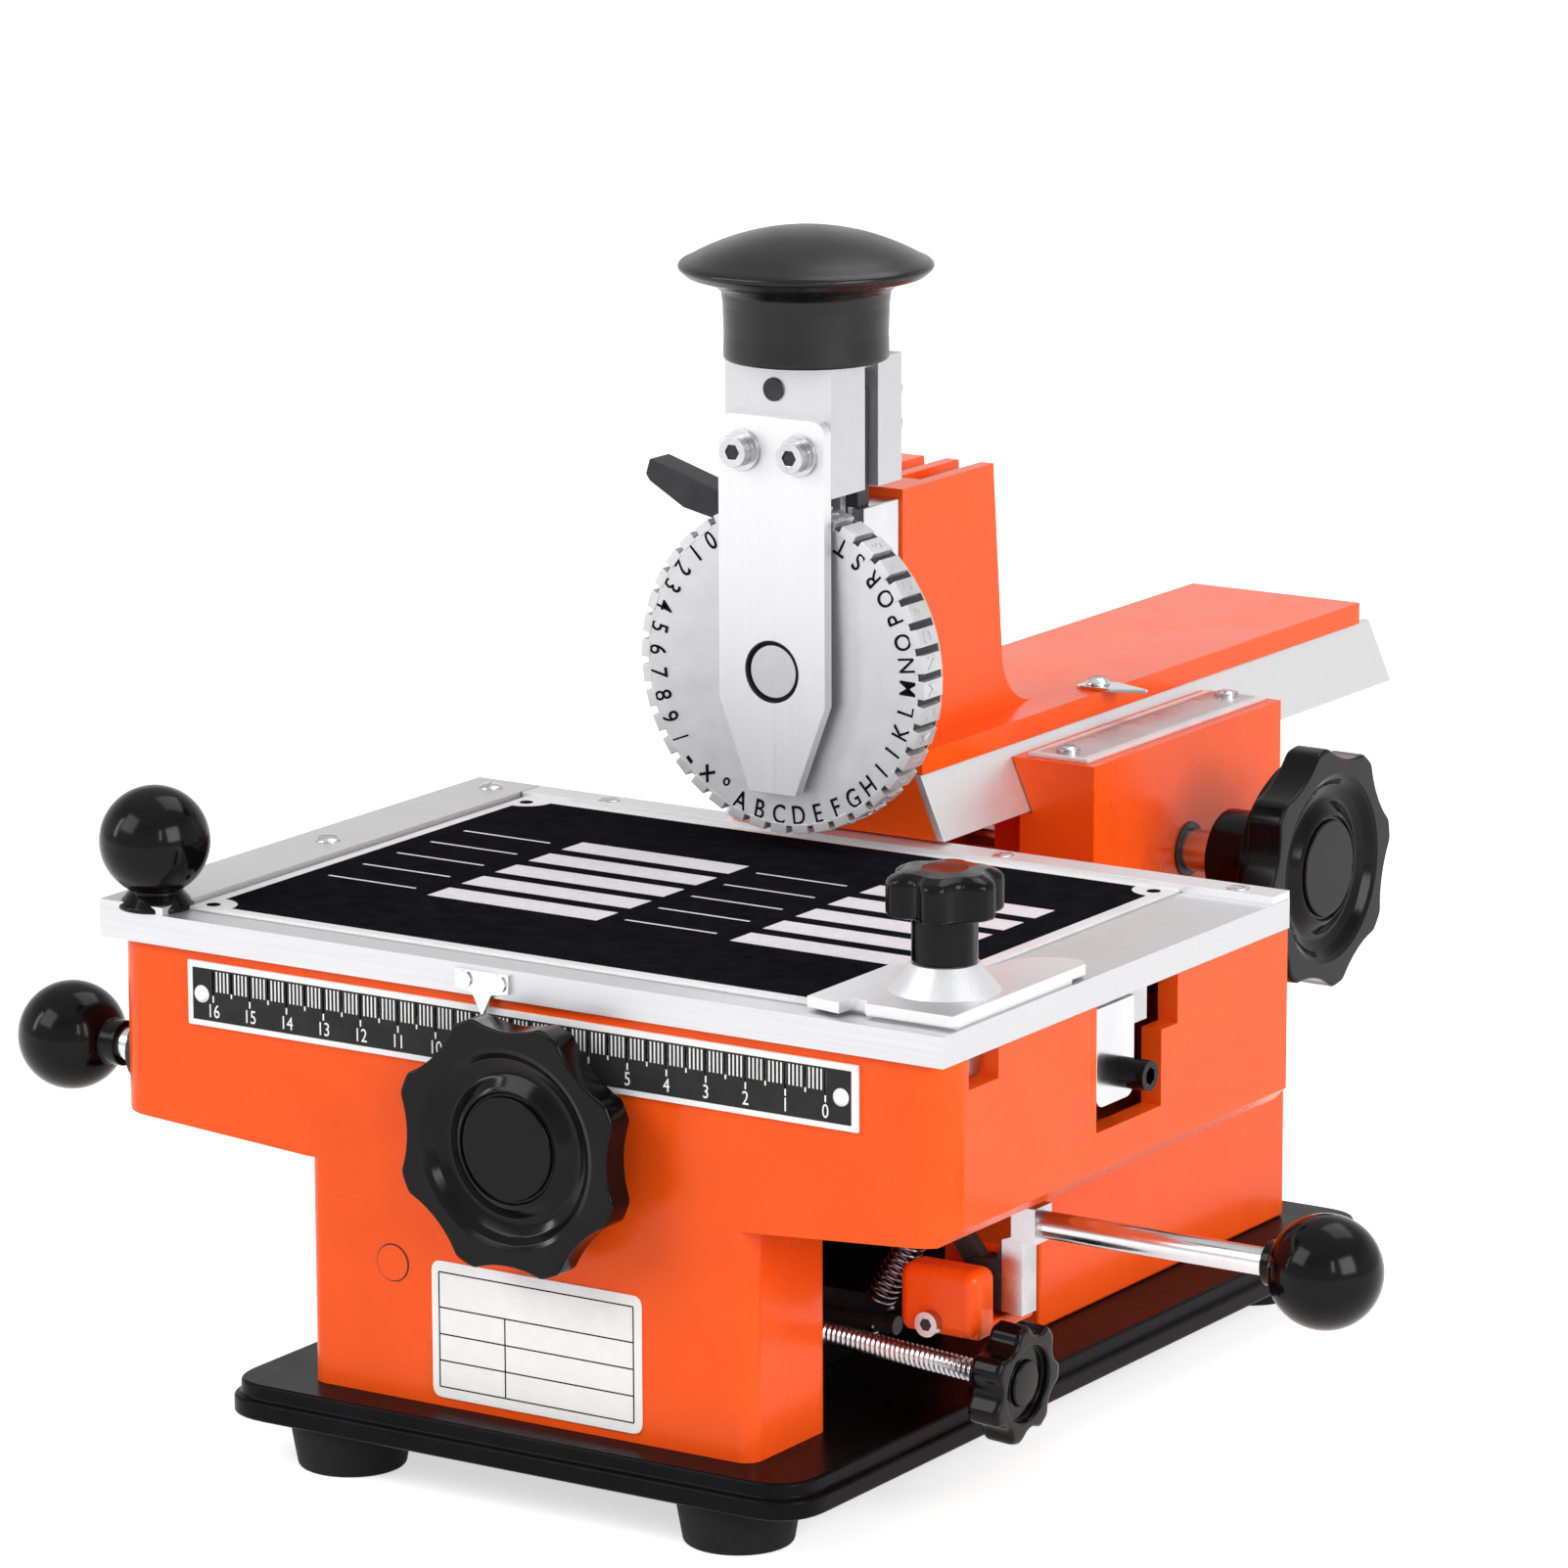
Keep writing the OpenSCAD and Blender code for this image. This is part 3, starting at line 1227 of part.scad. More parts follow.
module release_ball() {
  color(black_plastic) placed() difference() {
    union() {
      translate([release_ball_x, release_y, release_z]) sphere(r = ball_d / 2);
      rod_x(release_ball_x, release_rod_end + 4, release_y, release_z, 6);
    }
    rod_x(release_rod_end, release_rod_end + 10, release_y, release_z, release_d / 2 + 0.02);
  }
}

base_plate();
rubber_feet();
foot_screws();
body_casing();
inner_pedestal();
rear_pedestal();
pedestal_plug();
scale_plate();
scale_rivets();
slide_guides();
way_base();
way_blocks();
way_scale();
frame_screws();
bushes();
lever_bracket();
lever_pins();
work_table();
table_slides();
table_rack();
stop_bracket();
stop_screw();
table_pointer();
pointer_rivets();
left_clamp_bar();
clamp_ball();
rear_fence();
table_screws();
sample_plate();
corner_clamp();
clamp_stud();
star_knob();
front_handwheel();
front_shaft();
head_casting();
dovetail_strips();
head_rack();
beam_pointer();
beam_screw();
guide_block();
guide_bar();
side_handwheel();
side_shaft();
ram_column();
ram_screws();
wheel_plate();
wheel_axle();
press_knob();
index_pin();
ram_spring();
type_wheel();
index_lever();
step_lever();
lever_ball();
return_spring();
spacer_screw();
spacer_knob();
release_rod();
release_ball();
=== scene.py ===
# %% [markdown]
# # A metal tag embosser
# This hand machine presses letters into name plates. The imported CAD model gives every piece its
# size, place and joint. This lesson dresses that frame: it rounds the castings, models the knobs,
# springs and type wheel in full, and gives each surface its finish.

# %% Load the frame
import math

import bpy
from mathutils import Matrix, Quaternion, Vector


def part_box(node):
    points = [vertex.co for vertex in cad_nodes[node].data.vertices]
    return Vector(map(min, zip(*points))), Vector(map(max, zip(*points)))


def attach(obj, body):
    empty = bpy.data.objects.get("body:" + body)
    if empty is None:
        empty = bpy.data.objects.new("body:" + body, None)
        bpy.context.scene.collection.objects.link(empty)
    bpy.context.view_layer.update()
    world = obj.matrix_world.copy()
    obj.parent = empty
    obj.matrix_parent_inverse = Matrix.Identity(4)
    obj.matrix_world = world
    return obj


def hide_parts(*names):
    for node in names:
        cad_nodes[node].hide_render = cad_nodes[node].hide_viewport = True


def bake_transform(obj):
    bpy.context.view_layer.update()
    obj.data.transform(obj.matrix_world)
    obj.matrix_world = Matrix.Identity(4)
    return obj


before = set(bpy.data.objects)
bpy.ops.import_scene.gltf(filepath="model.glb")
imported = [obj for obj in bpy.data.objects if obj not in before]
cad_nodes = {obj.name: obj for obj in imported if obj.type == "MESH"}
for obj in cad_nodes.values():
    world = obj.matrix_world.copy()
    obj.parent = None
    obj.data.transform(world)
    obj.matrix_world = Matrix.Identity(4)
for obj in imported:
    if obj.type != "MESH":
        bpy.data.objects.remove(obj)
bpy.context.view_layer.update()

# %% [markdown]
# The machine is measured in millimetres from the middle of its base, with Z up from the bench,
# and the frame has its own origin. One small function turns the first into the second, so that
# every later number can be read straight off the machine.

# %% Measure in millimetres
MM = 0.001
ORIGIN_X, ORIGIN_Y = 14.5, 53.5


def spot(x, y, z):
    """A place on the machine in millimetres, as a point of the frame in metres."""
    return Vector((x - ORIGIN_X, y - ORIGIN_Y, z)) * MM


print("base middle is at", [round(v, 4) for v in spot(0, 0, 0)])

# %% [markdown]
# The camera stands to the right of the machine and a little above it, far back with a long lens,
# so that parallel edges stay nearly parallel. It could be aimed by eye, but the solved angles
# put every edge where it belongs.

# %% Camera
AZIMUTH, ELEVATION, ROLL = (math.radians(a) for a in (32.91, 12.57, -0.21))
view_back = Vector((math.sin(AZIMUTH) * math.cos(ELEVATION),
                    -math.cos(AZIMUTH) * math.cos(ELEVATION), math.sin(ELEVATION)))
CAMERA_BACK, LENS, SENSOR = 1.694, 176.62, 36
aim = Vector((1.26, -95.5, 149.36)) * MM
bpy.ops.object.select_all(action="DESELECT")
bpy.ops.object.camera_add(location=aim + view_back * CAMERA_BACK)
camera = bpy.context.object
camera.data.sensor_width = SENSOR
camera.data.lens = LENS
camera.rotation_mode = "QUATERNION"
camera.rotation_quaternion = view_back.to_track_quat("Z", "Y") @ Quaternion((0, 0, 1), ROLL)
bpy.context.scene.camera = camera
bpy.context.scene.view_settings.view_transform = "Standard"
print("camera at", [round(v, 3) for v in camera.location])

# %% [markdown]
# The set is a pale floor under soft light from all round. The background is white because the
# floor and the world are white to the camera, not because the machine gets more light, so the
# paint keeps its own colour and the floor keeps a soft shadow. A grey band high in the air gives
# bright metal something to reflect.

# %% Floor and world
PAPER_GREY, PAPER_LIFT = 0.86, 0.62
AIR_LOW, AIR_FULL, AIR_BAND = 0.45, 1.0, 0.62


def bare_rays(tree):
    """Nodes that give one for a ray of the camera, of a reflection or through glass, else nought."""
    path = tree.nodes.new("ShaderNodeLightPath")
    total = path.outputs["Is Camera Ray"]
    for kind in ("Is Glossy Ray", "Is Transmission Ray"):
        most = tree.nodes.new("ShaderNodeMath")
        most.operation = "MAXIMUM"
        tree.links.new(total, most.inputs[0])
        tree.links.new(path.outputs[kind], most.inputs[1])
        total = most.outputs[0]
    return total


bpy.ops.object.select_all(action="DESELECT")
bpy.ops.mesh.primitive_plane_add(size=24)
floor = bpy.context.object
floor.name = "studio_floor"
floor_paint = bpy.data.materials.new("studio_paper")
floor_paint.use_nodes = True
tree = floor_paint.node_tree
paper = tree.nodes["Principled BSDF"]
paper.inputs["Base Color"].default_value = (PAPER_GREY, PAPER_GREY, PAPER_GREY, 1)
paper.inputs["Roughness"].default_value = 0.9
paper.inputs["Specular IOR Level"].default_value = 0.1
paper.inputs["Emission Color"].default_value = (1, 1, 1, 1)
lift = tree.nodes.new("ShaderNodeMath")
lift.operation = "MULTIPLY"
lift.inputs[1].default_value = PAPER_LIFT
tree.links.new(bare_rays(tree), lift.inputs[0])
tree.links.new(lift.outputs[0], paper.inputs["Emission Strength"])
floor.data.materials.append(floor_paint)

world = bpy.data.worlds.new("studio_air")
bpy.context.scene.world = world
world.use_nodes = True
tree = world.node_tree
air = tree.nodes["Background"]
direction = tree.nodes.new("ShaderNodeTexCoord")
split = tree.nodes.new("ShaderNodeSeparateXYZ")
sky = tree.nodes.new("ShaderNodeValToRGB")
stops = sky.color_ramp.elements
for stop, shade in ((stops[0], AIR_FULL), (stops[1], AIR_FULL), (stops.new(0.62), AIR_FULL),
                    (stops.new(0.80), AIR_BAND)):
    stop.color = (shade, shade, shade, 1)
height = tree.nodes.new("ShaderNodeMapRange")
height.inputs["From Min"].default_value = -1.0
tree.links.new(direction.outputs["Generated"], split.inputs["Vector"])
tree.links.new(split.outputs["Z"], height.inputs["Value"])
tree.links.new(height.outputs["Result"], sky.inputs["Fac"])
tree.links.new(sky.outputs["Color"], air.inputs["Color"])
level = tree.nodes.new("ShaderNodeMapRange")
level.inputs["To Min"].default_value = AIR_LOW
level.inputs["To Max"].default_value = AIR_FULL
tree.links.new(bare_rays(tree), level.inputs["Value"])
tree.links.new(level.outputs["Result"], air.inputs["Strength"])
print("set:", floor.name, "and", world.name)

# %% [markdown]
# Three wide lamps light the machine softly from the left, the right and above. Two narrow strips
# add the long highlights that show how round the black knobs are.

# %% Lamps
LAMP_AIM = Vector((0, -0.05, 0.13))


def lamp(name, place, wide, high, power):
    """A soft lamp that looks at the middle of the machine, its size in metres."""
    bpy.ops.object.select_all(action="DESELECT")
    bpy.ops.object.light_add(type="AREA", location=place)
    light = bpy.context.object
    light.name = name
    light.data.shape = "RECTANGLE"
    light.data.size = wide
    light.data.size_y = high
    light.data.energy = power
    light.rotation_mode = "QUATERNION"
    light.rotation_quaternion = (Vector(place) - LAMP_AIM).to_track_quat("Z", "Y")


lamp("key_lamp", (-1.1, -1.9, 1.6), 1.3, 1.3, 28)
lamp("side_lamp", (2.2, -0.6, 1.0), 1.2, 1.2, 40)
lamp("top_lamp", (0.3, 0.9, 2.2), 1.4, 1.4, 17)
lamp("left_strip", (-1.3, -1.0, 0.7), 0.12, 0.8, 4.5)
lamp("right_strip", (1.5, -1.5, 1.0), 0.12, 0.8, 4.5)

# %% [markdown]
# A finish is paint, plastic or bare metal with the small unevenness of the real thing. Each one
# is a Principled shader whose colour, roughness and bump vary with noise in object space. Noise
# that is stretched along one axis reads as brushing; noise as fine as a tenth of a millimetre
# reads as moulded skin or cast grain.

# %% A finish
NOISE_LOW, NOISE_HIGH, BUMP_DEPTH = 0.3, 0.7, 0.0002


def finish(name, dark, light, rough, metal=0.0, grain=150.0, stretch=(1, 1, 1), bump=0.0,
           bump_grain=1500.0, coat=0.0, coat_rough=0.08, specular=0.5):
    """A surface whose colour, roughness and height vary with noise, stretched for brushed metal."""
    material = bpy.data.materials.new(name)
    material.use_nodes = True
    tree = material.node_tree
    shader = tree.nodes["Principled BSDF"]
    shader.inputs["Metallic"].default_value = metal
    shader.inputs["Specular IOR Level"].default_value = specular
    shader.inputs["Coat Weight"].default_value = coat
    shader.inputs["Coat Roughness"].default_value = coat_rough
    place = tree.nodes.new("ShaderNodeTexCoord")
    mapping = tree.nodes.new("ShaderNodeMapping")
    mapping.inputs["Scale"].default_value = stretch
    tree.links.new(place.outputs["Object"], mapping.inputs["Vector"])
    noise = tree.nodes.new("ShaderNodeTexNoise")
    noise.inputs["Scale"].default_value = grain
    noise.inputs["Detail"].default_value = 4
    tree.links.new(mapping.outputs["Vector"], noise.inputs["Vector"])
    ramp = tree.nodes.new("ShaderNodeValToRGB")
    ramp.color_ramp.elements[0].position = NOISE_LOW
    ramp.color_ramp.elements[1].position = NOISE_HIGH
    ramp.color_ramp.elements[0].color = (*dark, 1)
    ramp.color_ramp.elements[1].color = (*light, 1)
    tree.links.new(noise.outputs["Fac"], ramp.inputs["Fac"])
    tree.links.new(ramp.outputs["Color"], shader.inputs["Base Color"])
    polish = tree.nodes.new("ShaderNodeMapRange")
    polish.inputs["From Min"].default_value = NOISE_LOW
    polish.inputs["From Max"].default_value = NOISE_HIGH
    polish.inputs["To Min"].default_value = rough[0]
    polish.inputs["To Max"].default_value = rough[1]
    tree.links.new(noise.outputs["Fac"], polish.inputs["Value"])
    tree.links.new(polish.outputs["Result"], shader.inputs["Roughness"])
    skin = tree.nodes.new("ShaderNodeTexNoise")
    skin.inputs["Scale"].default_value = bump_grain
    skin.inputs["Detail"].default_value = 3
    tree.links.new(mapping.outputs["Vector"], skin.inputs["Vector"])
    height = tree.nodes.new("ShaderNodeBump")
    height.inputs["Strength"].default_value = bump
    height.inputs["Distance"].default_value = BUMP_DEPTH
    tree.links.new(skin.outputs["Fac"], height.inputs["Height"])
    tree.links.new(height.outputs["Normal"], shader.inputs["Normal"])
    return material


print("finish ready")

# %% [markdown]
# The machine has three families of finish. Enamel and plastic are smooth and dark or bright,
# metals differ in how rough they are and which way they are brushed, and inks are flat and dull.

# %% All finishes
orange_enamel = finish("orange_enamel", (0.83, 0.084, 0.006), (0.89, 0.094, 0.008), (0.22, 0.30),
                       grain=60, bump=0.006, bump_grain=700, coat=0.06, coat_rough=0.1, specular=0.14)
black_enamel_and_shade = finish("black_enamel_and_shade", (0.003, 0.003, 0.003), (0.005, 0.005, 0.006), (0.24, 0.34),
                      grain=90, bump=0.06, bump_grain=1400, specular=0.05)
knob_plastic = finish("knob_plastic", (0.002, 0.002, 0.002), (0.004, 0.004, 0.004), (0.11, 0.17),
                      grain=80, bump=0.01, bump_grain=1600, specular=0.13)
satin_plastic = finish("satin_plastic", (0.003, 0.003, 0.003), (0.005, 0.005, 0.005), (0.26, 0.34),
                       grain=80, bump=0.01, bump_grain=1600, specular=0.3)
foot_rubber = finish("foot_rubber", (0.009, 0.009, 0.009), (0.016, 0.016, 0.016), (0.55, 0.75),
                     grain=500, bump=0.3, bump_grain=2500, specular=0.1)
brushed_along = finish("brushed_along", (0.54, 0.54, 0.55), (0.60, 0.60, 0.61), (0.34, 0.44),
                       metal=0.85, grain=20, stretch=(1, 70, 70), bump=0.004, bump_grain=40)
ground_steel = finish("ground_steel", (0.51, 0.51, 0.52), (0.54, 0.54, 0.55), (0.36, 0.46),
                      metal=0.8, grain=20, stretch=(70, 70, 1), bump=0.002, bump_grain=40)
face_steel = finish("face_steel", (0.67, 0.67, 0.68), (0.70, 0.70, 0.71), (0.36, 0.46),
                    metal=0.75, grain=20, stretch=(70, 70, 1), bump=0.002, bump_grain=40)
polished_steel = finish("polished_steel", (0.56, 0.56, 0.57), (0.64, 0.64, 0.65), (0.14, 0.22),
                        metal=1, grain=120, bump=0.002, bump_grain=900)
turned_alloy = finish("turned_alloy", (0.56, 0.56, 0.57), (0.61, 0.61, 0.62), (0.36, 0.44),
                      metal=0.75, grain=200, bump=0.004, bump_grain=1800)
screw_steel = finish("screw_steel", (0.42, 0.42, 0.43), (0.54, 0.54, 0.55), (0.22, 0.30),
                     metal=1, grain=150, bump=0.003)
spring_steel = finish("spring_steel", (0.24, 0.24, 0.25), (0.36, 0.36, 0.37), (0.16, 0.26),
                      metal=1, grain=400, bump=0.01)
dark_steel = finish("dark_steel", (0.028, 0.028, 0.030), (0.042, 0.042, 0.045), (0.40, 0.55),
                    metal=0.3, grain=250, bump=0.08, bump_grain=1600, specular=0.2)
white_ink = finish("white_ink", (0.80, 0.80, 0.79), (0.84, 0.84, 0.83), (0.40, 0.50),
                   grain=300, bump=0.01, specular=0.2)
black_ink = finish("black_ink", (0.006, 0.006, 0.007), (0.010, 0.010, 0.011), (0.45, 0.6),
                   grain=220, bump=0.02, bump_grain=2000, specular=0.0)
grey_ink = finish("grey_ink", (0.024, 0.024, 0.025), (0.032, 0.032, 0.033), (0.45, 0.6),
                  grain=220, bump=0.02, bump_grain=2000, specular=0.05)
white_metal = finish("white_metal", (0.66, 0.66, 0.66), (0.72, 0.72, 0.72), (0.40, 0.50),
                     metal=0.3, grain=120, bump=0.005)
worn_field = finish("worn_field", (0.42, 0.42, 0.43), (0.54, 0.54, 0.55), (0.25, 0.40),
                    metal=0.5, grain=70, bump=0.01)
blank_field = finish("blank_field", (0.64, 0.60, 0.63), (0.72, 0.69, 0.72), (0.40, 0.55),
                     grain=500, bump=0.02, specular=0.1)
print("finishes", len(bpy.data.materials))

# %% [markdown]
# Most pieces start in one of two ways. A knob is turned on a lathe: its outline is drawn by
# extruding one vertex from point to point, and spun about an axis. A plate is sawn out: its
# outline is drawn closed, filled, and extruded to its thickness. Rounding the outline first, or
# bevelling the edges after, gives the soft edge that catches the light.

# %% Draw, turn and saw
MERGE = 1e-6


def soften(points, radius, steps=4, closed=False):
    """Rounds the corners of an outline. A point may carry a radius of its own."""
    flat = [Vector(p[:2]) for p in points]
    count = len(flat)
    out = [] if closed else [flat[0]]
    for i in range(count) if closed else range(1, count - 1):
        here, before, after = flat[i], flat[i - 1], flat[(i + 1) % count]
        r = points[i][2] if len(points[i]) > 2 else radius
        u, w = before - here, after - here
        half = u.angle(w) / 2
        if r <= 0 or half > 1.55:
            out.append(here)
            continue
        cut = min(r / math.tan(half), 0.48 * u.length, 0.48 * w.length)
        a, b = here + u.normalized() * cut, here + w.normalized() * cut
        for k in range(steps + 1):
            t = k / steps
            out.append(a * (1 - t) ** 2 + here * 2 * t * (1 - t) + b * t * t)
    return out if closed else out + [flat[-1]]


def draw(name, points):
    """Merges a new plane to one vertex and extrudes that vertex from point to point."""
    bpy.ops.object.select_all(action="DESELECT")
    bpy.ops.mesh.primitive_plane_add(size=0.01)
    piece = bpy.context.object
    piece.name = piece.data.name = name
    bpy.ops.object.mode_set(mode="EDIT")
    bpy.ops.mesh.select_mode(type="VERT")
    bpy.ops.mesh.select_all(action="SELECT")
    bpy.ops.mesh.merge(type="CENTER")
    bpy.ops.transform.translate(value=points[0])
    for a, b in zip(points, points[1:]):
        bpy.ops.mesh.extrude_vertices_move(TRANSFORM_OT_translate={"value": b - a})
    bpy.ops.mesh.select_all(action="SELECT")
    return piece


def turn(name, outline, steps=96):
    """Spins an outline of (radius, height) in millimetres about the Z axis."""
    piece = draw(name, [Vector((r, 0, h)) * MM for r, h in outline])
    bpy.ops.mesh.spin(steps=steps, angle=2 * math.pi, center=(0, 0, 0), axis=(0, 0, 1))
    bpy.ops.mesh.select_all(action="SELECT")
    bpy.ops.mesh.remove_doubles(threshold=MERGE)
    bpy.ops.mesh.normals_make_consistent(inside=False)
    bpy.ops.object.mode_set(mode="OBJECT")
    return piece


def saw(name, outline, along, low, high):
    """Fills a closed outline in millimetres and extrudes it along X, Y or Z."""
    order = {"x": lambda a, b, c: spot(c, a, b), "y": lambda a, b, c: spot(a, c, b),
             "z": lambda a, b, c: spot(a, b, c)}[along]
    points = [order(p[0], p[1], low) for p in outline]
    piece = draw(name, points + points[:1])
    bpy.ops.mesh.remove_doubles(threshold=MERGE)
    bpy.ops.mesh.select_all(action="SELECT")
    bpy.ops.mesh.edge_face_add()
    rise = order(0, 0, high) - order(0, 0, low)
    bpy.ops.mesh.extrude_region_move(TRANSFORM_OT_translate={"value": rise})
    bpy.ops.mesh.select_all(action="SELECT")
    bpy.ops.mesh.normals_make_consistent(inside=False)
    bpy.ops.object.mode_set(mode="OBJECT")
    return piece


def block(name, x0, x1, y0, y1, z0, z1):
    """A straight block between six planes, in millimetres."""
    return saw(name, [(x0, y0), (x1, y0), (x1, y1), (x0, y1)], "z", z0, z1)


print("ways ready: turn, saw, block")

# %% [markdown]
# A piece is moved by its matrix and the move is applied at once, so that the object itself stays
# at the origin. Modifiers are applied too: a Bevel rounds edges, a Boolean joins or cuts solids,
# and an Array repeats a mark in a row.

# %% Place, round and join
SHARP_ANGLE = math.radians(32)


def take(*pieces):
    """Selects only these pieces, the first one active."""
    bpy.ops.object.select_all(action="DESELECT")
    for piece in pieces:
        piece.select_set(True)
    bpy.context.view_layer.objects.active = pieces[0]


def put(piece, matrix):
    """Moves a piece to its place and applies it, so that the place is in the mesh."""
    take(piece)
    piece.matrix_world = matrix
    bpy.ops.object.transform_apply(location=True, rotation=True, scale=True)
    return piece


def facing(centre, axis):
    """A place whose Z axis looks along the given axis."""
    turned = Vector((0, 0, 1)).rotation_difference(Vector(axis))
    return Matrix.Translation(centre) @ turned.to_matrix().to_4x4()


def apply_last(piece):
    """Applies the modifier that was added last."""
    take(piece)
    bpy.ops.object.modifier_apply(modifier=piece.modifiers[-1].name)


def round_edges(piece, width, segments=3):
    """Bevels every sharp edge, with a width in millimetres."""
    bevel = piece.modifiers.new("soft_edges", "BEVEL")
    bevel.width = width * MM
    bevel.segments = segments
    bevel.limit_method = "ANGLE"
    bevel.angle_limit = SHARP_ANGLE
    bevel.use_clamp_overlap = True
    bevel.miter_outer = "MITER_ARC"
    apply_last(piece)
    return piece


def melt(name, *pieces):
    """Joins several pieces into one mesh."""
    take(*pieces)
    if len(pieces) > 1:
        bpy.ops.object.join()
    pieces[0].name = pieces[0].data.name = name
    return pieces[0]


def twin(piece, shift):
    """A copy of a piece with a mesh of its own, moved by so many millimetres."""
    take(piece)
    bpy.ops.object.duplicate(linked=False)
    copy = bpy.context.object
    return put(copy, Matrix.Translation(Vector(shift) * MM))


def four_of(piece, across, along):
    """The piece and three twins of it, at the corners of a rectangle in millimetres."""
    return [piece] + [twin(piece, shift) for shift in ((across, 0, 0), (0, along, 0), (across, along, 0))]


def combine(piece, other, operation):
    """Joins another solid to a piece, or cuts it out, and removes the other."""
    change = piece.modifiers.new("combine", "BOOLEAN")
    change.operation = operation
    change.solver = "EXACT"
    change.object = other
    apply_last(piece)
    bpy.data.objects.remove(other)
    return piece


def repeat(piece, count, shift):
    """Repeats a piece in a row, each copy moved on by so many millimetres."""
    row = piece.modifiers.new("row", "ARRAY")
    row.count = count
    row.use_relative_offset = False
    row.use_constant_offset = True
    row.constant_offset_displace = Vector(shift) * MM
    apply_last(piece)
    return piece


def pick(piece, kind, test):
    """Selects the vertices or faces of a piece that pass a test, and stays in edit mode."""
    take(piece)
    bpy.ops.object.mode_set(mode="EDIT")
    bpy.ops.mesh.select_mode(type=kind)
    bpy.ops.mesh.select_all(action="DESELECT")
    bpy.ops.object.mode_set(mode="OBJECT")
    for part in piece.data.vertices if kind == "VERT" else piece.data.polygons:
        part.select = test(part)
    bpy.ops.object.mode_set(mode="EDIT")


print("ways ready: put, round_edges, melt, twin, four_of, combine, repeat, pick")

# %% [markdown]
# A piece is finished by smoothing it, painting it and telling the frame which body carries it and
# which solids it stands for. Weighted normals keep the broad faces flat beside a rounded edge. A
# casting starts as a copy of a solid, whose loose triangles are merged back to whole faces.

# %% Settle a piece, copy a solid
SMOOTH_ANGLE, FLAT_ANGLE, CAD_MERGE = math.radians(36), math.radians(0.8), 2e-6


def settle(piece, surface, body, slot, *replaced):
    """Smooths and paints a piece, and says what it rides on and which solids it stands for."""
    take(piece)
    bpy.ops.object.shade_smooth_by_angle(angle=SMOOTH_ANGLE)
    weigh = piece.modifiers.new("flat_faces", "WEIGHTED_NORMAL")
    weigh.keep_sharp = True
    apply_last(piece)
    piece.data.materials.clear()
    piece.data.materials.append(surface)
    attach(piece, body)
    if replaced:
        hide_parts(*replaced)
    print(piece.name, "on", body, "-", len(piece.data.polygons), "faces")


def heal(piece):
    """Merges the vertices of a solid and melts its flat triangles to whole faces."""
    take(piece)
    bpy.ops.object.mode_set(mode="EDIT")
    bpy.ops.mesh.select_mode(type="VERT")
    bpy.ops.mesh.select_all(action="SELECT")
    bpy.ops.mesh.remove_doubles(threshold=CAD_MERGE)
    bpy.ops.mesh.dissolve_limited(angle_limit=FLAT_ANGLE)
    bpy.ops.object.mode_set(mode="OBJECT")
    return piece


def casting(node, name, width, segments=3):
    """A copy of a CAD solid with whole faces, and rounded edges if it has a width."""
    piece = bpy.data.objects.new(name, cad_nodes[node].data.copy())
    bpy.context.scene.collection.objects.link(piece)
    take(piece)
    bpy.ops.mesh.customdata_custom_splitnormals_clear()
    heal(piece)
    return round_edges(piece, width, segments) if width else piece


print("ways ready: settle, casting")

# %% [markdown]
# The base is a thick black plate with rounded corners and a stepped rim. It could be two stacked
# plates, but insetting the top face and drawing it up keeps it one clean solid, and the bevel
# then softens the lip and the step together.

# %% Base plate and feet
BASE_X0, BASE_X1, BASE_Y, BASE_CORNER = -79.5, 73.5, 128.0, 13
BASE_LOW, BASE_LIP, BASE_STEP_IN, BASE_STEP_UP = 11.5, 15.9, 1.6, 3.5
base_outline = soften([(BASE_X0, -BASE_Y), (BASE_X1, -BASE_Y), (BASE_X1, BASE_Y), (BASE_X0, BASE_Y)],
                      BASE_CORNER, steps=10, closed=True)
base = saw("base_plate_soft", base_outline, "z", BASE_LOW, BASE_LIP)
pick(base, "FACE", lambda face: face.normal.z > 0.9)
bpy.ops.mesh.inset(thickness=BASE_STEP_IN * MM)
bpy.ops.mesh.extrude_region_move(TRANSFORM_OT_translate={"value": (0, 0, BASE_STEP_UP * MM)})
bpy.ops.object.mode_set(mode="OBJECT")
round_edges(base, 1.0, 4)
settle(base, black_enamel_and_shade, "frame", "black_paint", "base_plate")

FOOT_X, FOOT_Y, FOOT_ACROSS = -54.2, -111, 102.4
FOOT_ALONG = -2 * FOOT_Y
foot_outline = soften([(0, BASE_LOW), (14, BASE_LOW), (12, 0, 1.2), (8.6, 0, 0.5), (8.0, 1.2, 0.5),
                       (0, 1.2)], 0.8)
foot = put(turn("rubber_foot", foot_outline, 48), Matrix.Translation(spot(FOOT_X, FOOT_Y, 0)))
feet = four_of(foot, FOOT_ACROSS, FOOT_ALONG)
settle(melt("rubber_feet_soft", *feet), foot_rubber, "frame", "foot_rubber", "rubber_feet")

# %% [markdown]
# The casing, the pedestals, the slideway and the head are painted castings. Their solids already
# have the right shape, so each is copied from the frame, its triangles are melted back to whole
# faces, and its edges are rounded as a foundry pattern would be.

# %% Painted castings
for node, body, width in (("body_casing", "frame", 1.2), ("rear_pedestal", "frame", 1.0),
                          ("head_casting", "head", 1.4)):
    settle(casting(node, node + "_soft", width), orange_enamel, body, "orange_paint", node)

# %% [markdown]
# The slideway is one casting on the real machine but two solids in the frame. A Boolean union
# makes them one, so no seam shows on its sides, and the whole is then rounded.

# %% Slideway
slideway = casting("way_base", "slideway_soft", 0)
combine(slideway, casting("way_blocks", "way_blocks_part", 0), "UNION")
round_edges(heal(slideway), 1.6, 4)
settle(slideway, orange_enamel, "frame", "orange_paint", "way_base", "way_blocks")
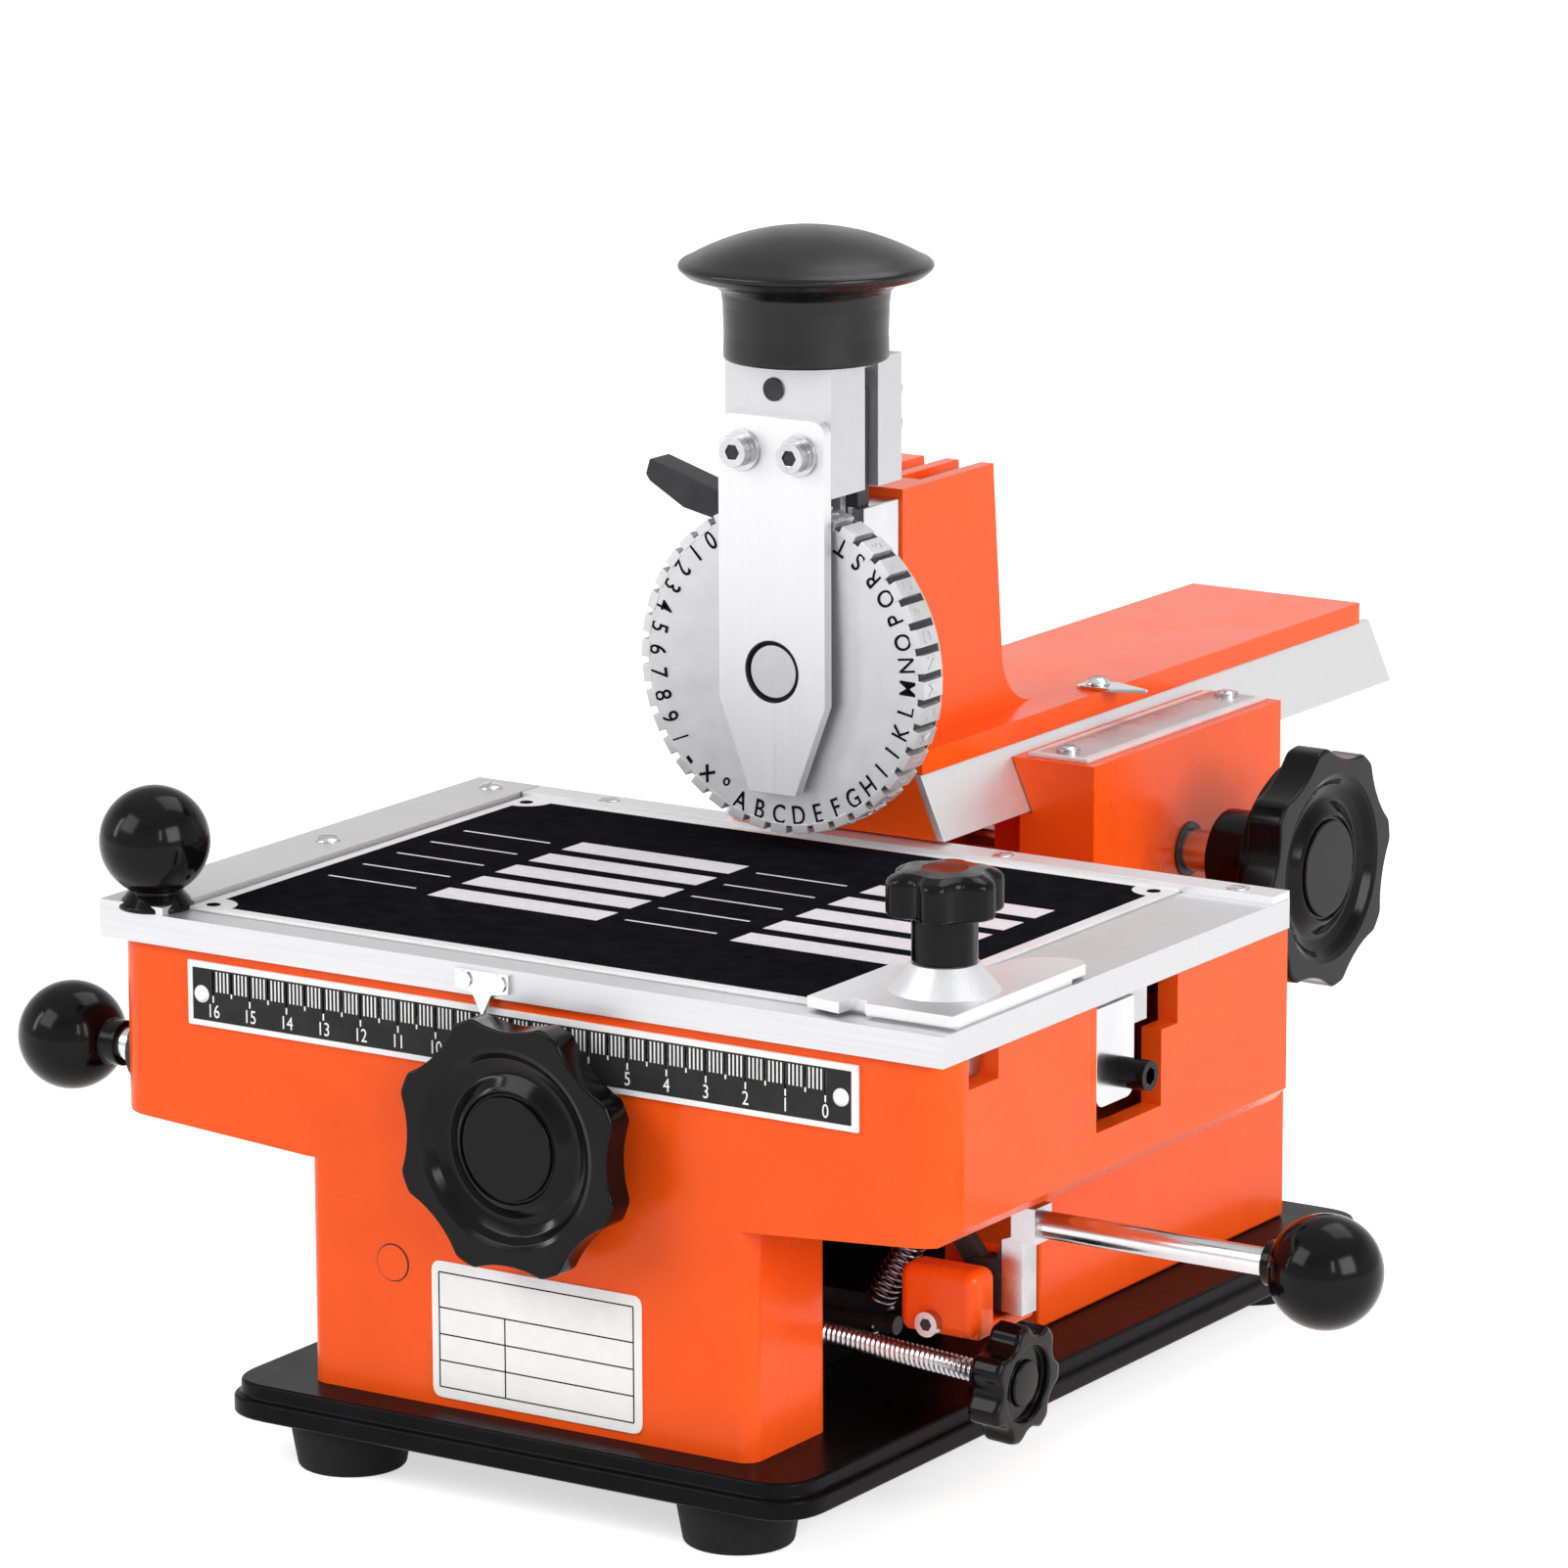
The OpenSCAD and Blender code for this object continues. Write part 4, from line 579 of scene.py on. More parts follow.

# %% [markdown]
# The fork that holds the step lever has rounder edges than a bevel on its solid could give, so it
# is built from rounded blocks: an outer cheek, a sole and a back. Its black arm reaches behind them
# to the inner pedestal, which is black as well and is copied from its solid. Both are black as
# painted shade, for the deep shade under the wing where they stand.

# %% Inner pedestal and lever fork
# Painted shade: the inner pedestal is painted black for the deep shade under the wing.
settle(casting("inner_pedestal", "inner_pedestal_soft", 0.8), black_enamel_and_shade, "frame", "black_paint",
       "inner_pedestal")
FORK_X0, FORK_X1, FORK_LOW, FORK_TOP = 68.0, 87.6, 41.8, 57.0
CHEEK_Y0, CHEEK_Y1, BACK_Y0, BACK_Y1 = -78.6, -69.0, -60.0, -54.0
SOLE_Y0, SOLE_T, ARM_X0, ARM_INSET = -77.0, 3, 30, 0.2
cheek = block("fork_cheek", FORK_X0, FORK_X1, CHEEK_Y0, CHEEK_Y1, FORK_LOW, FORK_TOP)
round_edges(cheek, 2.8, 6)
sole = block("fork_sole", FORK_X0 + 1, FORK_X1, SOLE_Y0, BACK_Y1, FORK_LOW, FORK_LOW + SOLE_T)
round_edges(sole, 0.8)
back = block("fork_back", FORK_X0, FORK_X1, BACK_Y0, BACK_Y1, FORK_LOW, FORK_TOP)
round_edges(back, 1.2)
fork = melt("lever_bracket_soft", cheek, sole, back)
settle(fork, orange_enamel, "frame", "orange_paint", "lever_bracket")
# Painted shade: the fork's arm is painted black for the same shade under the wing.
fork_arm = block("lever_bracket_arm", ARM_X0, FORK_X0 + 1, BACK_Y0 + ARM_INSET, BACK_Y1 - ARM_INSET,
                 FORK_LOW + ARM_INSET, FORK_TOP - ARM_INSET)
settle(round_edges(fork_arm, 0.6), black_enamel_and_shade, "frame", "black_paint")

# %% [markdown]
# The three black balls are moulded grips. Each is a sphere with a short collar on its stem side,
# so it is turned from one outline: an arc from the far pole round to the collar.

# %% Balls
BALL_R, NECK_R, NECK_RISE = 12.4, 6.1, 11.2


def ball(node, centre, axis, flare, body):
    """A ball whose collar runs along the axis, to the piece that carries it."""
    low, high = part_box(node)
    reach = max((c - spot(*centre)).dot(Vector(axis)) for c in (low, high)) / MM
    arc = [(BALL_R * math.sin(a), -BALL_R * math.cos(a)) for a in map(math.radians, range(0, 151, 6))]
    neck = [arc[-1], (min(NECK_R, flare), NECK_RISE), (flare, reach - 0.9), (flare, reach), (0, reach)]
    piece = put(turn(node + "_soft", arc[:-1] + soften(neck, 0.5), 64), facing(spot(*centre), axis))
    settle(piece, knob_plastic, body, "black_plastic", node)


ball("clamp_ball", (-105, -112, 135.6), (0, 0, -1), 8.5, "table")
ball("release_ball", (-136.5, -103, 85), (1, 0, 0), 5.2, "release")
ball("lever_ball", (165.5, -65, 66.5), (-1, 0, 0), 4.9, "step_lever_body")

# %% [markdown]
# The handwheels are moulded with eight lobes and a dished face. The dish, the cap and the round
# rim come from one turned outline. Between the lobes the rim is drawn in along a wide arc, more
# the further out a vertex sits, so the face stays true and the edge keeps its round.

# %% Handwheels
HAND_R, HAND_FACE_R = 29.0, 23.0
HAND_LOBES, HAND_CUT_R, HAND_CUT_IN = 8, 23.7, 3


def lobed(count, radius, cut_r, cut_in, start, smooth):
    """The edge of a scalloped disc, smoothed over so many degrees: angle in, millimetres out."""
    middle = radius + cut_r - cut_in

    def edge(angle):
        pitch = 2 * math.pi / count
        away = (angle - start + pitch / 2) % pitch - pitch / 2
        side = middle * math.sin(away)
        if abs(side) >= cut_r:
            return radius
        return min(radius, middle * math.cos(away) - math.sqrt(cut_r ** 2 - side ** 2))

    taps = [math.radians(smooth * k / 4) for k in range(-4, 5)]
    return lambda angle: sum(edge(angle + t) for t in taps) / len(taps)


def draw_in(piece, inner, outer, edge):
    """Draws the rim of a turned piece in to the edge, all vertices beyond the inner radius."""
    for vertex in piece.data.vertices:
        r = math.hypot(vertex.co.x, vertex.co.y) / MM
        if r > inner + 0.01:
            limit = edge(math.atan2(vertex.co.y, vertex.co.x))
            wanted = inner + (r - inner) * (limit - inner) / (outer - inner)
            vertex.co.x *= wanted / r
            vertex.co.y *= wanted / r
    return piece


def handwheel(name, thick, start):
    """A lobed wheel on its back face, with a cap and a dish on the front."""
    t = thick
    outline = soften([(0, t - 0.5), (11.3, t - 0.5, 0.4), (11.5, t - 1.6, 0.2), (12.1, t - 1.6, 0.2),
                      (12.5, t - 0.8, 0.3), (13.5, t - 1.3, 0.8), (16.5, t - 3.4, 2.5), (19.6, t - 2.1, 1.5),
                      (21.2, t - 0.5, 0.8), (22.4, t, 0.6), (HAND_R, t, 0.9), (HAND_R, 3.2, 0.9),
                      (24, 3, 0.5), (24, 0, 0.5), (0, 0)], 0.4, steps=4)
    edge = lobed(HAND_LOBES, HAND_R, HAND_CUT_R, HAND_CUT_IN, start, smooth=1.2)
    return draw_in(turn(name, outline, 192), HAND_FACE_R, HAND_R, edge)


FRONT_T, FRONT_PLACE = 10.5, (2, -120.5, 84.5)
front_wheel = handwheel("front_handwheel_soft", FRONT_T, math.radians(90))
put(front_wheel, facing(spot(*FRONT_PLACE), (0, -1, 0)))
settle(front_wheel, knob_plastic, "front_wheel", "black_plastic", "front_handwheel")

SIDE_T, SIDE_Y, SIDE_Z, HUB_R = 12, 107, 107.5, 11
side_low, side_high = (corner.x / MM + ORIGIN_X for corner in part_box("side_handwheel"))
side_wheel = handwheel("side_handwheel_soft", SIDE_T, math.radians(22.5 + 8))
side_place = Matrix.Translation(spot(side_high - SIDE_T, SIDE_Y, SIDE_Z))
put(side_wheel, side_place @ Matrix.Rotation(math.pi / 2, 4, "Y"))
hub_length = side_high - SIDE_T - side_low
hub_outline = soften([(0, hub_length), (HUB_R, hub_length, 0), (HUB_R, 0, 0.8), (0, 0)], 0.8)
hub = put(turn("side_hub", hub_outline, 64), facing(spot(side_low, SIDE_Y, SIDE_Z), (1, 0, 0)))
side_wheel = melt("side_handwheel_soft", side_wheel, hub)
settle(side_wheel, knob_plastic, "side_wheel", "black_plastic", "side_handwheel")

# %% [markdown]
# The press knob is a wide mushroom that the palm strikes. Its lens-shaped cap, thin rim and
# short neck are one outline on the lathe.

# %% Press knob
RAM_X, KNOB_Y = -14.0, 13.9
CAP_R, CAP_RISE, CAP_TOP, CAP_STEPS = 29, 8.4, 263.9, 14
dome_r = (CAP_R ** 2 + CAP_RISE ** 2) / (2 * CAP_RISE)
rings = [CAP_R * k / CAP_STEPS for k in range(CAP_STEPS)]
dome = [(r, CAP_TOP - dome_r + math.sqrt(dome_r ** 2 - r ** 2)) for r in rings]
cap_outline = dome + soften([(28.2, 256.2), (29.0, 255.4), (28.9, 254.5), (27.2, 253.0), (21.4, 251.2),
                             (19.3, 249.6), (18.9, 246.5), (18.7, 240.0), (18.8, 235.4), (18.8, 234.0),
                             (0, 234.0)], 1.2)
press_knob = put(turn("press_knob_soft", cap_outline, 128), Matrix.Translation(spot(RAM_X, KNOB_Y, 0)))
settle(press_knob, satin_plastic, "ram", "black_plastic", "press_knob")

# %% [markdown]
# The two small knobs are lobed like the handwheels, with deeper hollows that suit the fingertips.
# The star knob stands on a stem; the spacing knob sits on the end of its leaning screw.

# %% Star knob and spacing knob
STAR_R, STAR_STEM_R, STAR_PLACE = 12.8, 7.15, (89.5, -94, 130.1)
star_outline = soften([(0, 19.7), (5, 19.9), (9.6, 19.6, 2), (STAR_R, 18.2, 2.2), (STAR_R, 10.4, 1.2),
                       (9.2, 9.7), (STAR_STEM_R, 9.3, 0.8), (STAR_STEM_R, 0, 0.4), (0, 0)], 1.0)
star = draw_in(turn("star_knob_soft", star_outline, 144), 6.8, STAR_R,
               lobed(6, STAR_R, 4.6, 2.8, math.radians(20), smooth=6))
put(star, Matrix.Translation(spot(*STAR_PLACE)))
settle(star, knob_plastic, "star", "black_plastic", "star_knob")

SPACER_LEAN, SPACER_R, SPACER_OUT = math.radians(93.8), 13.5, 59.5
SPACER_PLACE = (30, -77, 39)
spacer_axis = Matrix.Translation(spot(*SPACER_PLACE)) @ Matrix.Rotation(SPACER_LEAN, 4, "Y")
spacer_outline = soften([(0, 10.4), (5.0, 10.4, 0.6), (5.2, 9.2, 0.3), (8.3, 9.2, 0.3), (8.6, 10.9, 0.6),
                         (SPACER_R, 10.9, 1.6), (SPACER_R, 3.2, 1.4), (8, 3, 0.4), (7, 0, 0.4), (0, 0)], 0.4)
spacer = draw_in(turn("spacer_knob_soft", spacer_outline, 168), 8.7, SPACER_R,
                 lobed(7, SPACER_R, 4.8, 2.6, 0.2, smooth=4))
put(spacer, spacer_axis @ Matrix.Translation((0, 0, SPACER_OUT * MM)))
settle(spacer, knob_plastic, "spacer", "black_plastic", "spacer_knob")

# %% [markdown]
# The spacing screw carries a real thread. A tooth of the thread is drawn once and the Screw
# modifier winds it along the axis, which gives the true helix that a stack of rings would miss.

# %% Spacing screw
THREAD_PITCH, THREAD_TURNS = 1.25, 61
ROOT_R, CREST_R, CORE_R, CORE_LENGTH, CORE_BACK = 2.05, 2.5, 2.1, 77.0, 13.5
tooth = ((ROOT_R, 0), (CREST_R, 0.5), (CREST_R, 0.75), (ROOT_R, THREAD_PITCH))
thread = draw("spacer_screw_soft", [Vector((r, 0, h)) * MM for r, h in tooth])
bpy.ops.object.mode_set(mode="OBJECT")
wind = thread.modifiers.new("wind", "SCREW")
wind.screw_offset = THREAD_PITCH * MM
wind.iterations = THREAD_TURNS
wind.steps = wind.render_steps = 20
wind.use_merge_vertices = True
apply_last(thread)
core = turn("spacer_core", [(0, CORE_LENGTH), (CORE_R, CORE_LENGTH), (CORE_R, 0), (0, 0)], 20)
melt("spacer_screw_soft", thread, core)
put(thread, spacer_axis @ Matrix.Translation((0, 0, -CORE_BACK * MM)))
settle(thread, screw_steel, "spacer", "steel", "spacer_screw")

# %% [markdown]
# Both springs are wound from round wire. A small circle of wire is carried round the axis by the
# Screw modifier, and on the lever spring each end is then spun on into a hook. Each spring sits
# between the two bodies that it joins.

# %% Winding a spring
WIRE_R = 0.4


def coil(name, radius, turns, length):
    """A helical tube along Z, in millimetres, that starts on the X axis."""
    bpy.ops.object.select_all(action="DESELECT")
    bpy.ops.mesh.primitive_circle_add(vertices=10, radius=WIRE_R * MM)
    piece = bpy.context.object
    piece.name = piece.data.name = name
    put(piece, Matrix.Translation((radius * MM, 0, 0)) @ Matrix.Rotation(math.pi / 2, 4, "X"))
    wind = piece.modifiers.new("wind", "SCREW")
    wind.screw_offset = length / turns * MM
    wind.iterations = turns
    wind.steps = wind.render_steps = 28
    apply_last(piece)
    return piece


def hook(piece, radius, height, bend, sign):
    """Spins the open end of a coil round into a hook, down at its foot or up at its head."""
    end = Vector((radius, 0, height)) * MM
    pick(piece, "VERT", lambda vertex: (vertex.co - end).length < (WIRE_R + 0.05) * MM)
    centre = end + Vector((0, 0, sign * bend * MM))
    bpy.ops.mesh.spin(steps=20, angle=math.radians(270), center=centre, axis=(1, 0, 0))
    bpy.ops.object.mode_set(mode="OBJECT")


def close_tube(piece):
    """Caps the tube's open ends and turns its faces outwards."""
    take(piece)
    bpy.ops.object.mode_set(mode="EDIT")
    bpy.ops.mesh.select_mode(type="VERT")
    bpy.ops.mesh.select_all(action="SELECT")
    bpy.ops.mesh.remove_doubles(threshold=MERGE)
    bpy.ops.mesh.select_all(action="DESELECT")
    bpy.ops.mesh.select_non_manifold(extend=False)
    bpy.ops.mesh.edge_face_add()
    bpy.ops.mesh.select_all(action="SELECT")
    bpy.ops.mesh.normals_make_consistent(inside=False)
    bpy.ops.object.mode_set(mode="OBJECT")


def hang(spring, surface, node, first, second):
    """Smooths and paints a spring, hides the solid that it stands for, and bakes its place into its mesh."""
    take(spring)
    bpy.ops.object.shade_smooth()
    spring.data.materials.append(surface)
    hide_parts(node)
    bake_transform(spring)
    print(spring.name, "from", first, "to", second, "-", len(spring.data.polygons), "faces")


print("ways ready: coil, hook, close_tube, hang")

# %% [markdown]
# The ram's spring stands in a bore and is pressed. The lever's spring leans between a post on the
# frame and the lever, and is drawn out.

# %% Springs
BORE_Y, BORE_LOW, BORE_HIGH = 26.8, 200.2, 228
RAM_COIL_R, RAM_COIL_TURNS, RAM_COIL_LENGTH, RAM_COIL_LOW = 3.2, 9, 27.0, 200.6
ram_spring = coil("ram_spring_wound", RAM_COIL_R, RAM_COIL_TURNS, RAM_COIL_LENGTH)
close_tube(ram_spring)
put(ram_spring, Matrix.Translation(spot(RAM_X, BORE_Y, RAM_COIL_LOW)))
hang(ram_spring, screw_steel, "ram_spring", "head", "ram")

spring_foot, spring_head = Vector((55.6, -65, 38.45)), Vector((71, -65, 64))
spring_span = spring_head - spring_foot
COIL_R, COIL_TURNS, HOOK_R, HOOK_PLAY = 3.1, 11, 3.6, 0.55
coil_length = spring_span.length - HOOK_PLAY - 3 * HOOK_R
lever_spring = coil("return_spring_wound", COIL_R, COIL_TURNS, coil_length)
hook(lever_spring, COIL_R, 0, HOOK_R, -1)
hook(lever_spring, COIL_R, coil_length, HOOK_R, 1)
close_tube(lever_spring)
lean = math.atan2(spring_span.x, spring_span.z)
put(lever_spring, Matrix.Translation(spot(*spring_foot)) @ Matrix.Rotation(lean, 4, "Y")
    @ Matrix.Translation(Vector((-COIL_R, 0, HOOK_R)) * MM))
hang(lever_spring, spring_steel, "return_spring", "frame", "step_lever_body")

# %% [markdown]
# The type wheel is the heart of the machine: forty type blocks round an alloy disc, with the
# matching characters on its face. The disc is turned; one block is modelled, bevelled and copied
# round the rim; the characters are text made into mesh, black on the face and raised on the blocks.

# %% Type wheel disc
WHEEL = (RAM_X, 3.0, 164.0)
WHEEL_R, WHEEL_T, TYPE_W = 38.15, 10.7, 8.0
HOLE_R, RIM_R, FACE, DISH = 6.05, 36.4, WHEEL_T - 0.1, 1.2
disc_outline = soften([(HOLE_R, FACE - DISH), (HOLE_R, 0.2), (10.5, 0.2), (12, 1.4, 1), (26, 1.4, 1.5),
                       (28.5, 0.0, 0.8), (RIM_R, 0.0, 0.2), (RIM_R, FACE, 0.15), (30, FACE - 0.3, 9),
                       (11, FACE - DISH, 6), (HOLE_R, FACE - DISH)], 0.3, steps=5)
disc = turn("type_wheel_disc", disc_outline, 120)
print("disc turned:", len(disc.data.polygons), "faces")

# %% [markdown]
# A character is a text object made into a mesh. The same forty characters are raised on the rim,
# where they look outwards, and printed on the face, where their feet point to the rim.

# %% Characters and type blocks
CHARACTERS = "0123456789/-×°ABCDEFGHIJKLMNOPQRSTUVWXYZ"
SIGN_SCALE = {"-": 1.5, "×": 1.4, "°": 1.2}
FIRST_ANGLE, PITCH_ANGLE = 124.5, 9.0
LETTER_R, LETTER_SIZE, TYPE_SIZE = 34.0, 6.3, 4.6
BLOCK_LONG, BLOCK_WIDE = 2.4, 4.2


def word(name, text, size, matrix, depth=0.03, bold=0.0):
    """A line of text as a thin raised mesh, in millimetres, with its middle at the place."""
    bpy.ops.object.select_all(action="DESELECT")
    bpy.ops.object.text_add()
    piece = bpy.context.object
    piece.data.body = text
    piece.data.size = size * MM
    piece.data.align_x = "CENTER"
    piece.data.align_y = "CENTER"
    piece.data.extrude = depth * MM
    piece.data.offset = bold * MM
    piece.data.resolution_u = 4
    bpy.ops.object.convert(target="MESH")
    piece = bpy.context.object
    piece.name = piece.data.name = name
    return put(piece, matrix)


bpy.ops.object.select_all(action="DESELECT")
bpy.ops.mesh.primitive_cube_add(size=1)
type_block = bpy.context.object
type_block.name = "type_block"
put(type_block, Matrix.Translation(Vector((WHEEL_R - BLOCK_LONG / 2, 0, WHEEL_T - TYPE_W / 2)) * MM)
    @ Matrix.Diagonal((BLOCK_LONG * MM, BLOCK_WIDE * MM, TYPE_W * MM, 1)))
round_edges(type_block, 0.18, 2)
blocks, letters = [], []
to_front = Matrix.Rotation(math.pi / 2, 4, "X")
narrow = Matrix.Diagonal((0.82, 1, 1, 1))
for k, character in enumerate(CHARACTERS):
    angle = math.radians(FIRST_ANGLE + PITCH_ANGLE * k)
    copy = twin(type_block, (0, 0, 0))
    put(copy, Matrix.Rotation(angle, 4, "Z"))
    blocks.append(copy)
    outward = (Matrix.Rotation(angle, 4, "Z")
               @ Matrix.Translation(Vector((WHEEL_R, 0, WHEEL_T - TYPE_W / 2)) * MM)
               @ Matrix.Rotation(math.pi / 2, 4, "Y") @ Matrix.Rotation(math.pi / 2, 4, "Z"))
    blocks.append(word("type_face", character, TYPE_SIZE, outward, 0.22))
    seat = Vector((math.cos(angle) * LETTER_R, WHEEL_T - FACE + 0.08, math.sin(angle) * LETTER_R))
    place = (Matrix.Translation(spot(*WHEEL) + seat * MM)
             @ Matrix.Rotation(angle - math.radians(270), 4, (0, -1, 0)) @ to_front)
    size = LETTER_SIZE * SIGN_SCALE.get(character, 1)
    letters.append(word("wheel_letter", character, size, place @ narrow, 0.1, 0.015))
bpy.data.objects.remove(type_block)
print("characters made:", len(letters))

# %% [markdown]
# Between the blocks a dark band lies under them: painted shade, for the shade that falls in the gaps
# between the blocks. The wheel was built flat and is now stood up on its axle, and a dark ring lines
# the hole in the plate before it: painted shade on the wall and floor of the hole round the axle.

# %% Wheel on its axle
# Painted shade: the dark band under the type blocks stands for the shade in the gaps between them.
SEAT_R, SEAT_IN_R, SEAT_LOW, SEAT_HIGH = RIM_R + 0.3, RIM_R - 0.6, 1.0, FACE - 0.4
seat_outline = soften([(SEAT_IN_R, SEAT_LOW), (SEAT_R, SEAT_LOW), (SEAT_R, SEAT_HIGH),
                       (SEAT_IN_R, SEAT_HIGH)], 0.15)
seats = turn("type_seats", seat_outline + seat_outline[:1], 120)
to_wheel = (Matrix.Translation(spot(*WHEEL)) @ Matrix.Rotation(math.pi / 2, 4, "X")
            @ Matrix.Translation((0, 0, -WHEEL_T * MM)))
settle(put(seats, to_wheel), dark_steel, "type_wheel_body", "dark_steel")
wheel = melt("type_wheel_soft", disc, *blocks)
put(wheel, to_wheel)
settle(wheel, turned_alloy, "type_wheel_body", "bright_metal", "type_wheel")
settle(melt("wheel_letters", *letters), black_ink, "type_wheel_body", "scale_black")
PLATE_BACK_Y = 2.0
# Painted shade: a dark cup lines the wall and floor of the plate's hole round the recessed axle.
cup = [(6.04, 0.0), (7.16, 0.0), (7.16, 2.9), (6.98, 2.9), (6.98, 0.5), (6.04, 0.5)]
hole_painted_shade = turn("hole_painted_shade", soften(cup + cup[:1], 0.05), 64)
put(hole_painted_shade, facing(spot(RAM_X, PLATE_BACK_Y, WHEEL[2]), (0, -1, 0)))
settle(hole_painted_shade, dark_steel, "ram", "dark_steel")

# %% [markdown]
# The front scale is a printed strip with a white border. The ticks are one thin bar that an Array
# modifier repeats every millimetre, with longer bars every five and ten, and the numbers run from
# sixteen on the left to nought on the right.

# %% Front scale
FRONT_Y = -117.0
SCALE_FACE = FRONT_Y - 1.0
TICK_TOP, TICK_X, TICK_HALF = 109.6, -85.0, 0.19
ZERO_X, NUMBER_Z, NUMBER_SIZE = 75, 100.4, 4.3
STRIP_X0, STRIP_X1, STRIP_LOW, STRIP_TOP = -92.1, 82.9, 96.8, 111.4
INK_X0, INK_X1, INK_LOW, INK_TOP = -90.6, 81.4, 98.2, 110.0
RIVET_X, RIVET_Z, RIVET_ACROSS = -88.1, 104.1, 167
strip = block("scale_plate_soft", STRIP_X0, STRIP_X1, SCALE_FACE, FRONT_Y, STRIP_LOW, STRIP_TOP)
settle(round_edges(strip, 0.25, 2), white_ink, "frame", "scale_black", "scale_plate")
field = block("scale_field", INK_X0, INK_X1, FRONT_Y - 1.06, FRONT_Y - 0.9, INK_LOW, INK_TOP)
settle(field, grey_ink, "frame", "scale_black")
marks = []
for step, count, low in ((1, 161, 105.0), (5, 33, 104.0), (10, 17, 102.5)):
    tick = block("tick", TICK_X - TICK_HALF, TICK_X + TICK_HALF, FRONT_Y - 1.10, SCALE_FACE, low, TICK_TOP)
    marks.append(repeat(tick, count, (step, 0, 0)))
for number in range(17):
    place = Matrix.Translation(spot(ZERO_X - 10 * number, FRONT_Y - 1.08, NUMBER_Z)) @ to_front
    marks.append(word("number", str(number), NUMBER_SIZE, place @ narrow))
settle(melt("scale_marks", *marks), white_ink, "frame", "scale_black")
rivet_outline = soften([(0, 1.0), (1.4, 0.8), (2.2, 0.0), (0, 0)], 0.4)
rivet = turn("scale_rivet", rivet_outline, 32)
put(rivet, facing(spot(RIVET_X, SCALE_FACE, RIVET_Z), (0, -1, 0)))
rivets = melt("scale_rivets_soft", rivet, twin(rivet, (RIVET_ACROSS, 0, 0)))
settle(rivets, white_ink, "frame", "bright_metal", "scale_rivets")

# %% [markdown]
# The sample name plate lies on the table. It is an alloy sheet with a printed black field whose
# corners step in round the screw holes, and blank fields in two columns. The field is drawn with
# concave corners and stands a hair above the metal, as thick ink does.

# %% Sample plate
PLATE = (-97.0, 81.0, -110.8, 19.8)
PLATE_LOW, PLATE_TOP, PLATE_EDGE, NOTCH_R = 120.6, 121.4, 3.2, 6.5
sheet = block("sample_plate_soft", *PLATE, PLATE_LOW, PLATE_TOP)
settle(round_edges(sheet, 0.25, 2), white_metal, "table", "plate_black", "sample_plate")
x0, y0 = PLATE[0] + PLATE_EDGE, PLATE[2] + PLATE_EDGE
x1, y1 = PLATE[1] - PLATE_EDGE, PLATE[3] - PLATE_EDGE
notch = []
for cx, cy, start in ((x0, y0, 90), (x1, y0, 180), (x1, y1, 270), (x0, y1, 0)):
    for k in range(9):
        a = math.radians(start - 90 * k / 8)
        notch.append((cx + NOTCH_R * math.cos(a), cy + NOTCH_R * math.sin(a)))
settle(saw("plate_field", notch, "z", PLATE_TOP, PLATE_TOP + 0.05), black_ink, "table", "plate_black")
BLANK_LONG, BLANK_HIGH, ROW_TOP, ROW_PITCH = 45.5, 8.6, -13.0, 13.2
PRINT_LOW, PRINT_TOP, RULE_TOP = PLATE_TOP + 0.04, PLATE_TOP + 0.09, PLATE_TOP + 0.08
blanks = []
for column in (-58.0, 22.5):
    for row in range(5):
        y = ROW_TOP - ROW_PITCH * row
        blanks.append(block("blank", column, column + BLANK_LONG, y - BLANK_HIGH, y, PRINT_LOW, PRINT_TOP))
        blanks.append(block("rule", column - 30, column - 6, y - 5.0, y - 4.2, PRINT_LOW, RULE_TOP))
settle(melt("plate_blanks", *blanks), blank_field, "table", "bracket_white")
HOLE_IN, HOLE_ACROSS, HOLE_ALONG = 4, 170, 121.6
hole = turn("plate_hole", [(0, 0.06), (1.6, 0.06), (1.6, 0), (0, 0)], 24)
put(hole, Matrix.Translation(spot(PLATE[0] + HOLE_IN, PLATE[2] + HOLE_IN, PLATE_TOP)))
settle(melt("plate_holes", *four_of(hole, HOLE_ACROSS, HOLE_ALONG)), black_ink, "table", "plate_black")

# %% [markdown]
# A pale plate with rounded corners sits low on the front of the pedestal. It is a blank form: thin
# dark bars, which stand a hair proud of the plate, rule it into rows and two columns.

# %% Blank label
LABEL_FACE, LINE_HALF = FRONT_Y - 0.5, 0.15
LABEL_X0, LABEL_X1, LABEL_LOW, LABEL_TOP = -27.4, 27.6, 21.5, 52.5
LINE_FRONT, LINE_BACK = FRONT_Y - 0.55, FRONT_Y - 0.48
LINE_X0, LINE_SPLIT, LINE_X1 = -25.4, -8.0, 25.6
LINE_LOW, LINE_HEAD, LINE_TOP = 24.0, 42.0, 50.0
label_outline = soften([(LABEL_X0, LABEL_LOW), (LABEL_X1, LABEL_LOW), (LABEL_X1, LABEL_TOP),
                        (LABEL_X0, LABEL_TOP)], 2.5, closed=True)
label = saw("label_plate", label_outline, "y", LABEL_FACE, FRONT_Y)
settle(round_edges(label, 0.15, 2), white_ink, "frame", "bracket_white")
rules = []
for z in (LINE_LOW, 30.0, 36.0, LINE_HEAD, LINE_TOP):
    rules.append(block("rule", LINE_X0, LINE_X1, LINE_FRONT, LINE_BACK, z - LINE_HALF, z + LINE_HALF))
for x, top in ((LINE_X0, LINE_TOP), (LINE_SPLIT, LINE_HEAD), (LINE_X1, LINE_TOP)):
    rules.append(block("rule", x - LINE_HALF, x + LINE_HALF, LINE_FRONT, LINE_BACK, LINE_LOW, top))
